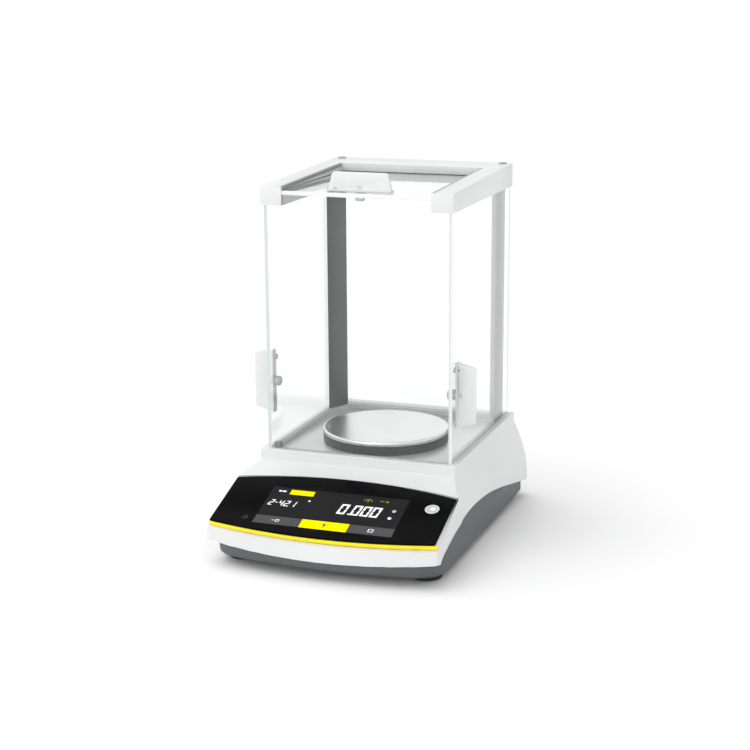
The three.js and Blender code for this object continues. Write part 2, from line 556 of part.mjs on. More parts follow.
function powerSocket() {
  const y0 = REAR_Y - SOCKET_DEPTH;
  const barrel = alongY(circle(POWER_X, SOCKET_Z, POWER_R), y0, REAR_Y - GAP, 20);
  const bore = alongY(circle(POWER_X, SOCKET_Z, POWER_BORE_R), REAR_Y - SOCKET_MOUTH, REAR_Y + 5, 16);
  const pin = alongY(circle(POWER_X, SOCKET_Z, POWER_PIN_R), y0 + 1, REAR_Y - 1.5, 10);
  return join(cut(barrel, bore), pin);
}

// A nine-pin serial socket: a metal shell with a slanted mouth and a raised insert.
function dataSocket() {
  const trapezium = (halfW, halfH, slant) => polygon([
    [DATA_X - halfW, SOCKET_Z + halfH], [DATA_X - halfW + slant, SOCKET_Z - halfH],
    [DATA_X + halfW - slant, SOCKET_Z - halfH], [DATA_X + halfW, SOCKET_Z + halfH]]);
  const plate = alongY(centredRectangle(DATA_X, SOCKET_Z, DATA_W / 2, DATA_H / 2),
    REAR_Y - SOCKET_DEPTH, REAR_Y - HOUSING_WALL + 1);
  const shell = alongY(trapezium(8.6, 4.4, 1.6), REAR_Y - HOUSING_WALL, REAR_Y - GAP);
  const mouth = alongY(trapezium(7.8, 3.6, 1.4), REAR_Y - SOCKET_MOUTH, REAR_Y + 1);
  const insert = alongY(trapezium(6.6, 2.4, 1), REAR_Y - SOCKET_MOUTH - 0.5, REAR_Y - 1.5);
  return join(cut(join(plate, shell), mouth), insert);
}

function usbSocket() {
  const shell = alongY(centredRectangle(USB_X, SOCKET_Z, USB_W / 2, USB_H / 2),
    REAR_Y - SOCKET_DEPTH, REAR_Y - GAP);
  const mouth = alongY(centredRectangle(USB_X, SOCKET_Z, USB_MOUTH_W / 2, USB_MOUTH_H / 2),
    REAR_Y - SOCKET_MOUTH, REAR_Y + 5);
  const tongue = alongY(centredRectangle(USB_X, SOCKET_Z, USB_MOUTH_W / 2 - 1.2, USB_TONGUE / 2),
    REAR_Y - SOCKET_MOUTH - 0.5, REAR_Y - 1.5);
  return join(cut(shell, mouth), tongue);
}

add('upper_housing', upperHousing(), WHITE);
add('lower_housing', lowerHousing(), TRAY_GREY);
add('power_socket', powerSocket(), DARK);
add('data_socket', dataSocket(), ALUMINIUM);
add('usb_socket', usbSocket(), ALUMINIUM);

// ---- Control panel --------------------------------------------------------------------------
add('panel_glass', deckPrism(panelShape(-0.05), -PANEL_T - 0.05, -0.05, 16), PANEL_BLACK);
add('accent_strip', accentStrip(), YELLOW);
const displayTop = -PANEL_T - GAP;
add('display_module', deckPrism(displayRim, displayTop - DISPLAY_T, displayTop), DARK);

function levelCup() {
  const top = displayTop;
  const outside = deckPrism(circle(levelX, LEVEL_V, LEVEL_R + LEVEL_CUP_WALL), top - LEVEL_H, top, 24);
  const hollow = deckPrism(circle(levelX, LEVEL_V, LEVEL_R), top - LEVEL_H + 1.5, top + 5, 24);
  return outside.subtract(hollow);
}

add('level_cup', levelCup(), GREY);
add('level_vial', deckPrism(circle(levelX, LEVEL_V, LEVEL_R - GAP), displayTop - LEVEL_H + 1.5 + GAP,
  displayTop - GAP, 24), GLASS);

// The flat ribbon from the display down to the main board.
function ribbon() {
  const top = new THREE.Vector3(0, DISPLAY_TOP_V - 12, displayTop - DISPLAY_T - GAP).applyMatrix4(onDeck);
  const floor = BOARD_Z + BOARD_T + GAP;
  const boardFront = boardRearY - BOARD_L;
  const line = [[top.y, top.z - RIBBON_T], [top.y - 4, top.z - 10], [top.y + 6, floor],
    [boardFront + 12, floor]];
  const upper = line.map(([y, z]) => [y + RIBBON_T * 1.2, z + RIBBON_T]).reverse();
  return alongX(polygon([...line, ...upper]), ribbonX - RIBBON_W, ribbonX);
}

const ribbonX = BOARD_X - 8;
add('display_ribbon', ribbon(), GREY);

// ---- Main board -----------------------------------------------------------------------------
function mainBoard() {
  const plate = box(BOARD_X - BOARD_W, BOARD_X, boardRearY - BOARD_L, boardRearY,
    BOARD_Z, BOARD_Z + BOARD_T);
  const top = BOARD_Z + BOARD_T - 0.2;
  const chips = [[14, 34, 14, 14, 1.6], [36, 40, 9, 9, 1.4], [20, 70, 18, 12, 8], [42, 84, 8, 8, 9]];
  const parts = chips.map(([x, y, w, l, h]) => box(
    BOARD_X - BOARD_W + x - w / 2, BOARD_X - BOARD_W + x + w / 2,
    boardRearY - BOARD_L + y - l / 2, boardRearY - BOARD_L + y + l / 2, top, top + h));
  return join(plate, ...parts);
}

add('main_circuit_board', mainBoard(), BOARD_GREEN);

// ---- Weighing chamber floor, skirt and pan --------------------------------------------------
const floorZ = RECESS_Z + GAP;
add('chamber_floor', alongZ(recessShape(-GAP), floorZ, floorZ + FLOOR_T)
  .subtract(rod(0, PAN_Y, SUPPORT_HOLE_R, 0, PLATFORM_TOP, 32))
  .subtract(clipFoot(GAP)), STEEL);

// The small stop that holds the front glass, on the left behind it.
function clipFoot(grow) {
  const x = 1.8 - DOOR_IN_X + 0.5;
  const y = FRONT_GLASS_Y + GLASS_T + GAP + SILL + GAP;
  return box(x - grow, x + 6.5 + grow, y - grow, y + 3.4 + grow, RECESS_Z + 0.1, PLATFORM_TOP + 5);
}

function frontGlassClip() {
  const x = 1.8 - DOOR_IN_X + 0.5;
  const y = FRONT_GLASS_Y + GLASS_T + GAP;
  const lip = box(x, x + 6.5, y, y + 4, PLATFORM_TOP + GAP, PLATFORM_TOP + 4.8);
  return join(clipFoot(0).intersect(box(-500, 500, -500, 500, RECESS_Z + GAP, PLATFORM_TOP + 4.8)), lip);
}

add('front_glass_clip', frontGlassClip(), GREY);

const skirtZ = floorZ + FLOOR_T + GAP;
const panRimZ = PAN_TOP_Z - PAN_RIM;
add('pan_skirt_ring', turned([
  [PAN_R - SKIRT_WALL - 0.3, skirtZ], [PAN_R - 0.3, skirtZ], [PAN_R - 0.3, panRimZ - 0.8],
  [PAN_R - SKIRT_WALL - 0.3, panRimZ - 0.8], [PAN_R - SKIRT_WALL - 0.3, skirtZ]], 0, PAN_Y, 48), TRAY_GREY);

add('weighing_pan', turned([
  [0, PAN_TOP_Z - PAN_T], [PAN_R - 2.4, PAN_TOP_Z - PAN_T], [PAN_R - 1.6, panRimZ], [PAN_R - 0.5, panRimZ],
  [PAN_R, panRimZ + 0.8], [PAN_R, PAN_TOP_Z - 0.8], [PAN_R - 0.8, PAN_TOP_Z], [0, PAN_TOP_Z]], 0, PAN_Y, 56),
STEEL);

const supportTop = PAN_TOP_Z - PAN_T - GAP;
const hubLow = RECEPTOR_Z + RECEPTOR_T + 5;
const hubBoreTop = supportTop - 4;
add('pan_support', turned([
  [0, hubBoreTop], [HUB_BORE_R, hubBoreTop], [HUB_BORE_R, hubLow], [HUB_R, hubLow],
  [HUB_R, supportTop - SUPPORT_T], [SUPPORT_R, supportTop - 2], [SUPPORT_R, supportTop], [0, supportTop]],
0, PAN_Y, 32), ALUMINIUM);

// ---- Weigh cell -----------------------------------------------------------------------------
// The receptor carries the pan on a spigot; thin flexures hold it on the cell.
function loadReceptor() {
  const half = RECEPTOR_PLATE / 2;
  const plate = box(-half, half, PAN_Y - half, PAN_Y + half, RECEPTOR_Z, RECEPTOR_Z + RECEPTOR_T);
  const spigot = turned([[0, RECEPTOR_Z], [RECEPTOR_PIN_R, RECEPTOR_Z], [RECEPTOR_PIN_R, hubBoreTop - 3],
    [2, hubBoreTop - GAP], [0, hubBoreTop - GAP]], 0, PAN_Y, 24);
  return join(plate, spigot);
}

add('load_receptor', loadReceptor(), ALUMINIUM);

// A monolithic block with the slots that leave its parallel guide and lever.
function weighCell() {
  const y1 = CELL_FRONT_Y + CELL_L;
  const half = CELL_W / 2;
  const block = box(-half, half, CELL_FRONT_Y, y1, CELL_Z, CELL_TOP_Z);
  const slot = (ya, yb, z) => box(-half - 1, half + 1, ya, yb, z, z + CELL_SLOT);
  const frontGap = box(-half - 1, half + 1, CELL_FRONT_Y + 14, CELL_FRONT_Y + 14 + CELL_SLOT,
    CELL_Z + 6, CELL_TOP_Z - 6);
  const slots = [
    slot(CELL_FRONT_Y + 14, y1 - 20, CELL_Z + 6),
    slot(CELL_FRONT_Y + 14, y1 - 20, CELL_TOP_Z - 11),
    slot(CELL_FRONT_Y + 30, y1 + 1, (CELL_Z + CELL_TOP_Z) / 2 + 2)];
  const bores = cellScrewPlaces().map(([x, y]) => rod(x, y, SCREW_R + TOUCH_GAP, CELL_Z - 1, CELL_Z + 6, 6));
  return cut(block, frontGap, ...slots, ...bores);
}

add('weigh_cell', weighCell(), ALUMINIUM);

// Pot magnet with a ring gap, and the coil that hangs in it.
const gapOuter = MAGNET_R - 6;
const gapInner = MAGNET_R - 10;
const magnetTop = CELL_Z + MAGNET_H;
add('magnet_pot', turned([
  [0, CELL_Z], [MAGNET_R, CELL_Z], [MAGNET_R, magnetTop], [gapOuter, magnetTop], [gapOuter, CELL_Z + 8],
  [gapInner, CELL_Z + 8], [gapInner, magnetTop], [0, magnetTop]], 0, MAGNET_Y, 28), GREY);
add('magnet_coil', turned([
  [gapInner + 1, CELL_Z + 12], [gapOuter - 1, CELL_Z + 12], [gapOuter - 1, magnetTop + 4],
  [gapInner + 1, magnetTop + 4], [gapInner + 1, CELL_Z + 12]], 0, MAGNET_Y, 28), finish(0xb06a3a, 0.4, 1));

// ---- Screws ---------------------------------------------------------------------------------
// A hexagon-socket screw whose head is at the bottom.
function screw(x, y, z0, length) {
  const hex = alongZ(polygon(Array.from({ length: 6 }, (_, i) => [
    x + 1.6 * Math.cos(i * Math.PI / 3), y + 1.6 * Math.sin(i * Math.PI / 3)])), z0 - 1, z0 + 1.6);
  return join(rod(x, y, SCREW_HEAD_R, z0, z0 + SCREW_HEAD_H, 10),
    rod(x, y, SCREW_R, z0 + SCREW_HEAD_H - 0.5, z0 + length, 6)).subtract(hex);
}

cellScrewPlaces().forEach(([x, y], i) => {
  add(`cell_screw_${i + 1}`, screw(x, y, TRAY_BOTTOM_Z, CELL_Z + 5 - TRAY_BOTTOM_Z), STEEL);
});
const headZ = TRAY_BOTTOM_Z + 12 - SCREW_HEAD_H - GAP;
['front', 'rear'].forEach((place, i) => {
  const [x, y] = HOUSING_SCREWS[i];
  addPair(`${place}_housing_screw`, screw(x, y, headZ, POST_SPLIT + 11 - headZ), STEEL);
});
const columnScrewZ = PLATFORM_TOP - HOUSING_WALL - SCREW_HEAD_H - GAP;
addPair('column_screw', screw(...columnAxis, columnScrewZ, SCREW_HEAD_H + HOUSING_WALL + 11), STEEL);

// ---- Under the base -------------------------------------------------------------------------
add('hook_cover', rod(0, PAN_Y, HOOK_COVER_R, TRAY_BOTTOM_Z, TRAY_BOTTOM_Z + HOOK_COVER_T, 20)
  .subtract(rod(hookScrewX, PAN_Y, SCREW_R + TOUCH_GAP, 0, 20, 8)), DARK);
add('hook_cover_screw', join(
  rod(hookScrewX, PAN_Y, SCREW_R, TRAY_BOTTOM_Z - 0.5, TRAY_BOTTOM_Z + 5, 10),
  rod(hookScrewX, PAN_Y, SCREW_HEAD_R - 0.8, TRAY_BOTTOM_Z - GAP - 1.4, TRAY_BOTTOM_Z - GAP, 14)), STEEL);
addPair('rear_foot', join(rod(REAR_FOOT_X, REAR_FOOT_Y, REAR_FOOT_R, 0, TRAY_BOTTOM_Z - GAP, 24),
  rod(REAR_FOOT_X, REAR_FOOT_Y, REAR_STUD_R, 1, TRAY_BOTTOM_Z + REAR_STUD_H, 14)), RUBBER);

// ---- Levelling feet -------------------------------------------------------------------------
// The pad stands still on the table; the wheel turns on the pad's stem and screws into the tray.
const wheelZ = PAD_H + RUN;
addPair('foot_pad', join(rod(FOOT_X, FOOT_Y, PAD_R, 0, PAD_H, 28),
  rod(FOOT_X, FOOT_Y, PAD_STEM_R, 1, PAD_H + PAD_STEM_H, 14)), RUBBER);

function footWheel() {
  const rim = new THREE.Shape(Array.from({ length: 2 * WHEEL_TEETH }, (_, i) => {
    const angle = i * Math.PI / WHEEL_TEETH;
    const r = i % 2 ? WHEEL_R : WHEEL_R - 0.8;
    return new THREE.Vector2(FOOT_X + r * Math.cos(angle), FOOT_Y + r * Math.sin(angle));
  }));
  const top = wheelZ + WHEEL_T;
  return join(alongZ(rim, wheelZ, top), rod(FOOT_X, FOOT_Y, STUD_R, top - 1, top + STUD_H - 6))
    .subtract(rod(FOOT_X, FOOT_Y, PAD_STEM_R + RUN, 0, PAD_H + PAD_STEM_H + RUN, 14));
}

addPair('foot_wheel', footWheel(), DARK);

// ---- Columns --------------------------------------------------------------------------------
function column() {
  const section = polygon([
    [COLUMN_OUT_X, COLUMN_FRONT_Y], [COLUMN_OUT_X, COLUMN_REAR_Y],
    [COLUMN_OUT_X - COLUMN_W, COLUMN_REAR_Y - COLUMN_EDGE]]);
  const bore = rod(...columnAxis, COLUMN_BORE_R, PLATFORM_TOP - 1, PLATFORM_TOP + COLUMN_BORE_L, 12);
  return alongZ(section, PLATFORM_TOP + GAP, RAIL_Z - GAP).subtract(bore);
}

addPair('column', column(), ALUMINIUM);

// ---- Top frame ------------------------------------------------------------------------------
const railTop = (y) => RAIL_Z + RAIL_H + RAIL_RISE * (y - RAIL_FRONT_Y) / (RAIL_REAR_Y - RAIL_FRONT_Y);

function topFrame() {
  const side = (y0, y1, z0) => polygon([[y0, z0], [y1, z0], [y1, railTop(y1)], [y0, railTop(y0)]]);
  const rail = alongX(side(RAIL_FRONT_Y, RAIL_REAR_Y, RAIL_Z), RAIL_IN_X, RAIL_OUT_X);
  const barSide = polygon([
    [REAR_BAR_Y, RAIL_Z + REAR_BAR_LIFT], [REAR_GLASS_Y - 6, RAIL_Z + REAR_BAR_LIFT],
    [REAR_GLASS_Y - 4, RAIL_Z],
    [RAIL_REAR_Y, RAIL_Z], [RAIL_REAR_Y, railTop(RAIL_REAR_Y)], [REAR_BAR_Y, railTop(REAR_BAR_Y)]]);
  const bar = alongX(barSide, -RAIL_IN_X - 1, RAIL_IN_X + 1);
  const topSlot = box(-TOP_GLASS_HALF_W - RUN, TOP_GLASS_HALF_W + RUN, TOP_GLASS_FRONT_Y - GAP,
    RAIL_REAR_Y + 5, TOP_GLASS_Z - RUN, TOP_GLASS_Z + GLASS_T + RUN);
  const front = box(-FRONT_GLASS_HALF_W - GAP, FRONT_GLASS_HALF_W + GAP, FRONT_GLASS_Y - GAP,
    FRONT_GLASS_Y + GLASS_T + GAP, RAIL_Z - 1, TOP_GLASS_Z);
  const rear = box(-REAR_GLASS_HALF_W - GAP, REAR_GLASS_HALF_W + GAP, REAR_GLASS_Y - GAP,
    REAR_GLASS_Y + GLASS_T + GAP, RAIL_Z - 1, RAIL_Z + RAIL_GROOVE_Z + GAP);
  const door = box(DOOR_IN_X - RUN, DOOR_OUT_X + RUN, DOOR_FRONT_Y - RUN, RAIL_REAR_Y + 5,
    RAIL_Z - 1, RAIL_Z + RAIL_GROOVE_Z + RUN);
  const rabbet = alongX(sealSide(GAP, 3), RAIL_IN_X - 1, RAIL_IN_X + STRIP_RAIL_W + GAP);
  const sink = rod(capX, capY, CAP_R + GAP, railTop(capY) - CAP_SINK, railTop(capY) + 10, 20);
  return cut(join(rail, mirrored(rail), bar), topSlot, front, rear, bothSides(door), bothSides(rabbet),
    bothSides(sink));
}

const capX = RAIL_OUT_X - 8;
const capY = RAIL_REAR_Y - 7;

// The grey sealing strip let into the inner top edge of each rail.
function sealSide(grow, over) {
  const [y0, y1] = [RAIL_FRONT_Y + 2 - grow, REAR_BAR_Y - GAP + grow];
  const low = (y) => railTop(y) - STRIP_RAIL_H - grow;
  return polygon([[y0, low(y0)], [y1, low(y1)], [y1, railTop(y1) + over], [y0, railTop(y0) + over]]);
}

add('top_frame', topFrame(), WHITE);
addPair('rail_strip', alongX(sealSide(0, 0), RAIL_IN_X, RAIL_IN_X + STRIP_RAIL_W), GREY);
addPair('frame_screw_cap', rod(capX, capY, CAP_R, railTop(capY) - CAP_SINK + GAP,
  railTop(capY) - CAP_SINK + GAP + CAP_H, 20), GREY);

// ---- Fixed glass ----------------------------------------------------------------------------
const glassLowZ = PLATFORM_TOP - GROOVE_DEPTH + GAP;
add('front_glass', box(-FRONT_GLASS_HALF_W, FRONT_GLASS_HALF_W, FRONT_GLASS_Y, FRONT_GLASS_Y + GLASS_T,
  glassLowZ, TOP_GLASS_Z - RUN), GLASS);
add('rear_glass', box(-REAR_GLASS_HALF_W, REAR_GLASS_HALF_W, REAR_GLASS_Y, REAR_GLASS_Y + GLASS_T,
  glassLowZ, RAIL_Z + RAIL_GROOVE_Z), GLASS);

// ---- Doors ----------------------------------------------------------------------------------
// Grip parts stand on a plane: u runs along the grip, w out of the glass. For a side door u is Z and
// w is X; for the top door u is X and w is Z. The glass face is at w = 0.
function gripPiece(reach) {
  const foot = [[-GRIP_ROOT / 2, GAP], [GRIP_ROOT / 2, GAP], [GRIP_ROOT / 2, GRIP_FOOT_T],
    [-GRIP_ROOT / 2, GRIP_FOOT_T]];
  const round = 2.5;
  const plate = new THREE.Shape();
  plate.moveTo(-GRIP_ROOT / 2, GRIP_FOOT_T - 0.5);
  plate.lineTo(GRIP_ROOT / 2, GRIP_FOOT_T - 0.5);
  plate.lineTo(GRIP_TIP / 2 + 0.5, reach - round);
  plate.quadraticCurveTo(GRIP_TIP / 2, reach, GRIP_TIP / 2 - round, reach);
  plate.lineTo(round - GRIP_TIP / 2, reach);
  plate.quadraticCurveTo(-GRIP_TIP / 2, reach, -GRIP_TIP / 2 - 0.5, reach - round);
  const bodies = join(
    alongY(polygon(foot), -GRIP_FOOT_W / 2, GRIP_FOOT_W / 2),
    alongY(plate, -GRIP_T / 2, GRIP_T / 2, 4));
  const screwBore = rod(0, 0, KNOB_SHANK_R + TOUCH_GAP, -1, KNOB_SHANK_L - GLASS_T + 0.5, 12);
  const pinBore = rod(PIN_OFFSET, 0, PIN_R + TOUCH_GAP, -1, 3, 12);
  return cut(bodies, screwBore, pinBore);
}

const inner = -GLASS_T - GAP;

function knobPiece() {
  return turned([
    [0, inner - KNOB_H], [KNOB_R - 1, inner - KNOB_H], [KNOB_R, inner - KNOB_H + 1], [KNOB_R, inner - 0.6],
    [KNOB_R - 0.6, inner], [KNOB_SHANK_R, inner], [KNOB_SHANK_R, inner + KNOB_SHANK_L],
    [0, inner + KNOB_SHANK_L]], 0, 0, 24);
}

function pinPiece() {
  return turned([
    [0, inner - PIN_HEAD_T], [PIN_HEAD_R, inner - PIN_HEAD_T], [PIN_HEAD_R, inner], [PIN_R, inner],
    [PIN_R, GRIP_FOOT_T], [0, GRIP_FOOT_T]], PIN_OFFSET, 0, 16);
}

const glassHoles = join(rod(0, 0, KNOB_SHANK_R + TOUCH_GAP, -GLASS_T - 1, 1, 12),
  rod(PIN_OFFSET, 0, PIN_R + TOUCH_GAP, -GLASS_T - 1, 1, 12));

// Local x runs up and local z runs out, so the side grips turn by a quarter about Y and then flip.
function onSideDoor(body) {
  return body.rotate([0, -90, 0]).mirror([1, 0, 0]).translate([DOOR_OUT_X, GRIP_Y, GRIP_Z]);
}

function onTopDoor(body) {
  return body.mirror([1, 0, 0]).translate([0, TOP_GRIP_Y, TOP_GLASS_Z + GLASS_T]);
}

const sideGlass = box(
  DOOR_IN_X, DOOR_OUT_X, DOOR_FRONT_Y, DOOR_REAR_Y, glassLowZ + 0.1, RAIL_Z + RAIL_GROOVE_Z)
  .subtract(onSideDoor(glassHoles));
addPair('side_door_glass', sideGlass, GLASS);
addPair('side_door_grip', onSideDoor(gripPiece(GRIP_REACH)), WHITE);
addPair('side_grip_knob', onSideDoor(knobPiece()), GREY);
addPair('side_grip_pin', onSideDoor(pinPiece()), GREY);

add('top_door_glass', box(-TOP_GLASS_HALF_W, TOP_GLASS_HALF_W, TOP_GLASS_FRONT_Y, TOP_GLASS_REAR_Y,
  TOP_GLASS_Z, TOP_GLASS_Z + GLASS_T).subtract(onTopDoor(glassHoles)), GLASS);
add('top_door_grip', onTopDoor(gripPiece(TOP_GRIP_REACH)), WHITE);
add('top_grip_knob', onTopDoor(knobPiece()), GREY);
add('top_grip_pin', onTopDoor(pinPiece()), GREY);

export default balance;
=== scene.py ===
import math

import bmesh
import bpy
from mathutils import Matrix, Vector


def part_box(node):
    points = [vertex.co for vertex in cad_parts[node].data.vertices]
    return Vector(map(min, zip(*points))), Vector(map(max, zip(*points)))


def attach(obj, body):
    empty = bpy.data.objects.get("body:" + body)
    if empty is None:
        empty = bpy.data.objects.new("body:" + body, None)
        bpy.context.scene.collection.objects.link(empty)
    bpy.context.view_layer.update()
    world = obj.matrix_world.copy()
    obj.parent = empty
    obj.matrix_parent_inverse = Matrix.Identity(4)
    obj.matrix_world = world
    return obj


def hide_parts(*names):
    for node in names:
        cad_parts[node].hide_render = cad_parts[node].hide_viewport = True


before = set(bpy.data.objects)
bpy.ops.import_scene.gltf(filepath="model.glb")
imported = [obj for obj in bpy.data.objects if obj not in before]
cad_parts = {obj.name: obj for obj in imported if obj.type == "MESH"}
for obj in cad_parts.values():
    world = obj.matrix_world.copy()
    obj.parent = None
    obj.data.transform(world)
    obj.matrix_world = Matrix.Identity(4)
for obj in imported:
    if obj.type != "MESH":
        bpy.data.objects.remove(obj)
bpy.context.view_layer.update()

MM = 0.001

# ---- Camera ----------------------------------------------------------------------------------
# A long lens on a stand in front of the bench, to the right of the balance and a little above it.
CAMERA_TURN = (19.75, 13.75, -0.34)
CAMERA_PLACE = (0.52123, -1.44717, 0.52607)
LENS_MM = 81.8
yaw, pitch, roll = (math.radians(a) for a in CAMERA_TURN)
ahead = Vector((-math.sin(yaw) * math.cos(pitch), math.cos(yaw) * math.cos(pitch), -math.sin(pitch)))
level_right = Vector((math.cos(yaw), math.sin(yaw), 0))
level_up = level_right.cross(ahead)
right = math.cos(roll) * level_right + math.sin(roll) * level_up
lens = bpy.data.cameras.new("bench_camera")
lens.lens = LENS_MM
lens.sensor_width = 36
lens.clip_start = 0.05
camera = bpy.data.objects.new("bench_camera", lens)
turn = Matrix((right, right.cross(ahead), -ahead)).transposed().to_4x4()
camera.matrix_world = Matrix.Translation(CAMERA_PLACE) @ turn
bpy.context.collection.objects.link(camera)
bpy.context.scene.camera = camera

# ---- Bench and light -------------------------------------------------------------------------
# A plain white bench top that runs on past the view, in a pale room with a wide window overhead
# and one soft box in front.
BENCH_HALF_M = 40
bench_mesh = bpy.data.meshes.new("bench_top")
bench_shape = bmesh.new()
bmesh.ops.create_grid(bench_shape, x_segments=1, y_segments=1, size=BENCH_HALF_M)
bench_shape.to_mesh(bench_mesh)
bench_shape.free()
bench = bpy.data.objects.new("bench_top", bench_mesh)
bpy.context.collection.objects.link(bench)
bench_paint = bpy.data.materials.new("bench_paint")
bench_paint.use_nodes = True
bench_shader = bench_paint.node_tree.nodes["Principled BSDF"]
bench_shader.inputs["Base Color"].default_value = (0.9, 0.9, 0.9, 1)
bench_shader.inputs["Roughness"].default_value = 0.9
bench_mesh.materials.append(bench_paint)

room = bpy.data.worlds.new("pale_room")
room.use_nodes = True
nodes, link = room.node_tree.nodes, room.node_tree.links.new
nodes["Background"].inputs["Color"].default_value = (1, 1, 1, 1)
where = nodes.new("ShaderNodeTexCoord")
toward = nodes.new("ShaderNodeVectorMath")
toward.operation = "DOT_PRODUCT"
toward.inputs[1].default_value = Vector((-0.6, -0.65, 0.45)).normalized()
fall = nodes.new("ShaderNodeMapRange")
fall.interpolation_type = "SMOOTHSTEP"
fall.inputs["From Min"].default_value = -1
fall.inputs["From Max"].default_value = 0.9
fall.inputs["To Min"].default_value = 0.8
fall.inputs["To Max"].default_value = 1.15
split = nodes.new("ShaderNodeSeparateXYZ")
overhead = nodes.new("ShaderNodeMapRange")
overhead.inputs["From Min"].default_value = 0.3
overhead.inputs["From Max"].default_value = 0.8
overhead.inputs["To Min"].default_value = 1.1
overhead.inputs["To Max"].default_value = 0.55
both = nodes.new("ShaderNodeMath")
both.operation = "MULTIPLY"
link(where.outputs["Generated"], toward.inputs[0])
link(toward.outputs["Value"], fall.inputs["Value"])
link(where.outputs["Generated"], split.inputs["Vector"])
link(split.outputs["Z"], overhead.inputs["Value"])
link(fall.outputs["Result"], both.inputs[0])
link(overhead.outputs["Result"], both.inputs[1])
link(both.outputs["Value"], nodes["Background"].inputs["Strength"])
bpy.context.scene.world = room
bpy.context.scene.view_settings.view_transform = "Standard"
WINDOW_FROM = (-0.28, -0.06, 0.96)
sun = bpy.data.lights.new("far_window", "SUN")
sun.energy = 1.4
sun.angle = math.radians(60)
far_window = bpy.data.objects.new("far_window", sun)
far_window.matrix_world = Vector(WINDOW_FROM).to_track_quat("Z", "Y").to_matrix().to_4x4()
bpy.context.collection.objects.link(far_window)


def soft_box(name, place, target, size, power):
    """A rectangular lamp that faces its target."""
    light = bpy.data.lights.new(name, "AREA")
    light.shape = "RECTANGLE"
    light.size, light.size_y = size
    light.energy = power
    lamp = bpy.data.objects.new(name, light)
    aim = (Vector(target) - Vector(place)).to_track_quat("-Z", "Y").to_matrix().to_4x4()
    lamp.matrix_world = Matrix.Translation(place) @ aim
    bpy.context.collection.objects.link(lamp)


soft_box("front_box", (-0.5, -2.2, 0.9), (0, 0, 0.12), (1.6, 1.0), 4)

# ---- Shapes and finishes ---------------------------------------------------------------------
# What the sections below share: solids taken from the frame and rounded, pieces made from them,
# and moulded plastic.


def merged_copy(node):
    """The node's solid with its corners joined and its flat faces whole."""
    shape = bmesh.new()
    shape.from_mesh(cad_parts[node].data)
    bmesh.ops.remove_doubles(shape, verts=shape.verts, dist=2e-6)
    bmesh.ops.dissolve_limit(
        shape, angle_limit=math.radians(0.4), verts=shape.verts, edges=shape.edges)
    return shape


def round_edges(shape, width, segments, above, where=None, clamp=True):
    """Rounds the edges that turn by more than an angle, or those that where picks."""
    sharp = [
        e for e in shape.edges
        if len(e.link_faces) == 2 and e.calc_face_angle(0) > math.radians(above)
        and (where is None or where(e))]
    bmesh.ops.bevel(
        shape, geom=sharp, offset=width, offset_type="OFFSET", affect="EDGES",
        segments=segments, profile=0.5, material=-1, clamp_overlap=clamp, loop_slide=True)


def fitted(name, shape, material, body, slot, *nodes, crease=34):
    """Makes the piece from its mesh, shaded smooth up to the crease angle."""
    for f in shape.faces:
        f.smooth = True
    for e in shape.edges:
        e.smooth = not (len(e.link_faces) == 2 and e.calc_face_angle(0) > math.radians(crease))
    mesh = bpy.data.meshes.new(name)
    shape.to_mesh(mesh)
    shape.free()
    mesh.materials.append(material)
    piece = bpy.data.objects.new(name, mesh)
    bpy.context.collection.objects.link(piece)
    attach(piece, body)
    if nodes:
        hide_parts(*nodes)
    return piece


def moulded_grain():
    """Node group: a faint change of tone over a part and the fine grain of its mould."""
    group = bpy.data.node_groups.new("moulded_grain", "ShaderNodeTree")
    for label, kind in (
            ("Colour", "Color"), ("Roughness", "Float"), ("Grain", "Float"), ("Depth", "Float")):
        group.interface.new_socket(label, in_out="INPUT", socket_type="NodeSocket" + kind)
    for label, kind in (("Colour", "Color"), ("Roughness", "Float"), ("Normal", "Vector")):
        group.interface.new_socket(label, in_out="OUTPUT", socket_type="NodeSocket" + kind)
    nodes, link = group.nodes, group.links.new
    given, result = nodes.new("NodeGroupInput"), nodes.new("NodeGroupOutput")
    place = nodes.new("ShaderNodeTexCoord")
    clouds = nodes.new("ShaderNodeTexNoise")
    clouds.inputs["Scale"].default_value = 11
    clouds.inputs["Detail"].default_value = 4
    specks = nodes.new("ShaderNodeTexNoise")
    specks.inputs["Detail"].default_value = 2
    tone = nodes.new("ShaderNodeMapRange")
    tone.inputs["From Min"].default_value = 0.3
    tone.inputs["From Max"].default_value = 0.7
    tone.inputs["To Min"].default_value = 0.965
    tone.inputs["To Max"].default_value = 1.02
    tint = nodes.new("ShaderNodeVectorMath")
    tint.operation = "SCALE"
    sheen = nodes.new("ShaderNodeMath")
    sheen.operation = "MULTIPLY_ADD"
    sheen.inputs[1].default_value = 0.16
    base = nodes.new("ShaderNodeMath")
    base.operation = "SUBTRACT"
    base.inputs[1].default_value = 0.08
    bump = nodes.new("ShaderNodeBump")
    bump.inputs["Distance"].default_value = 0.00012
    link(place.outputs["Object"], clouds.inputs["Vector"])
    link(place.outputs["Object"], specks.inputs["Vector"])
    link(given.outputs["Grain"], specks.inputs["Scale"])
    link(clouds.outputs["Fac"], tone.inputs["Value"])
    link(given.outputs["Colour"], tint.inputs[0])
    link(tone.outputs["Result"], tint.inputs["Scale"])
    link(given.outputs["Roughness"], base.inputs[0])
    link(specks.outputs["Fac"], sheen.inputs[0])
    link(base.outputs[0], sheen.inputs[2])
    link(specks.outputs["Fac"], bump.inputs["Height"])
    link(given.outputs["Depth"], bump.inputs["Strength"])
    link(tint.outputs["Vector"], result.inputs["Colour"])
    link(sheen.outputs[0], result.inputs["Roughness"])
    link(bump.outputs["Normal"], result.inputs["Normal"])
    return group


grain = moulded_grain()


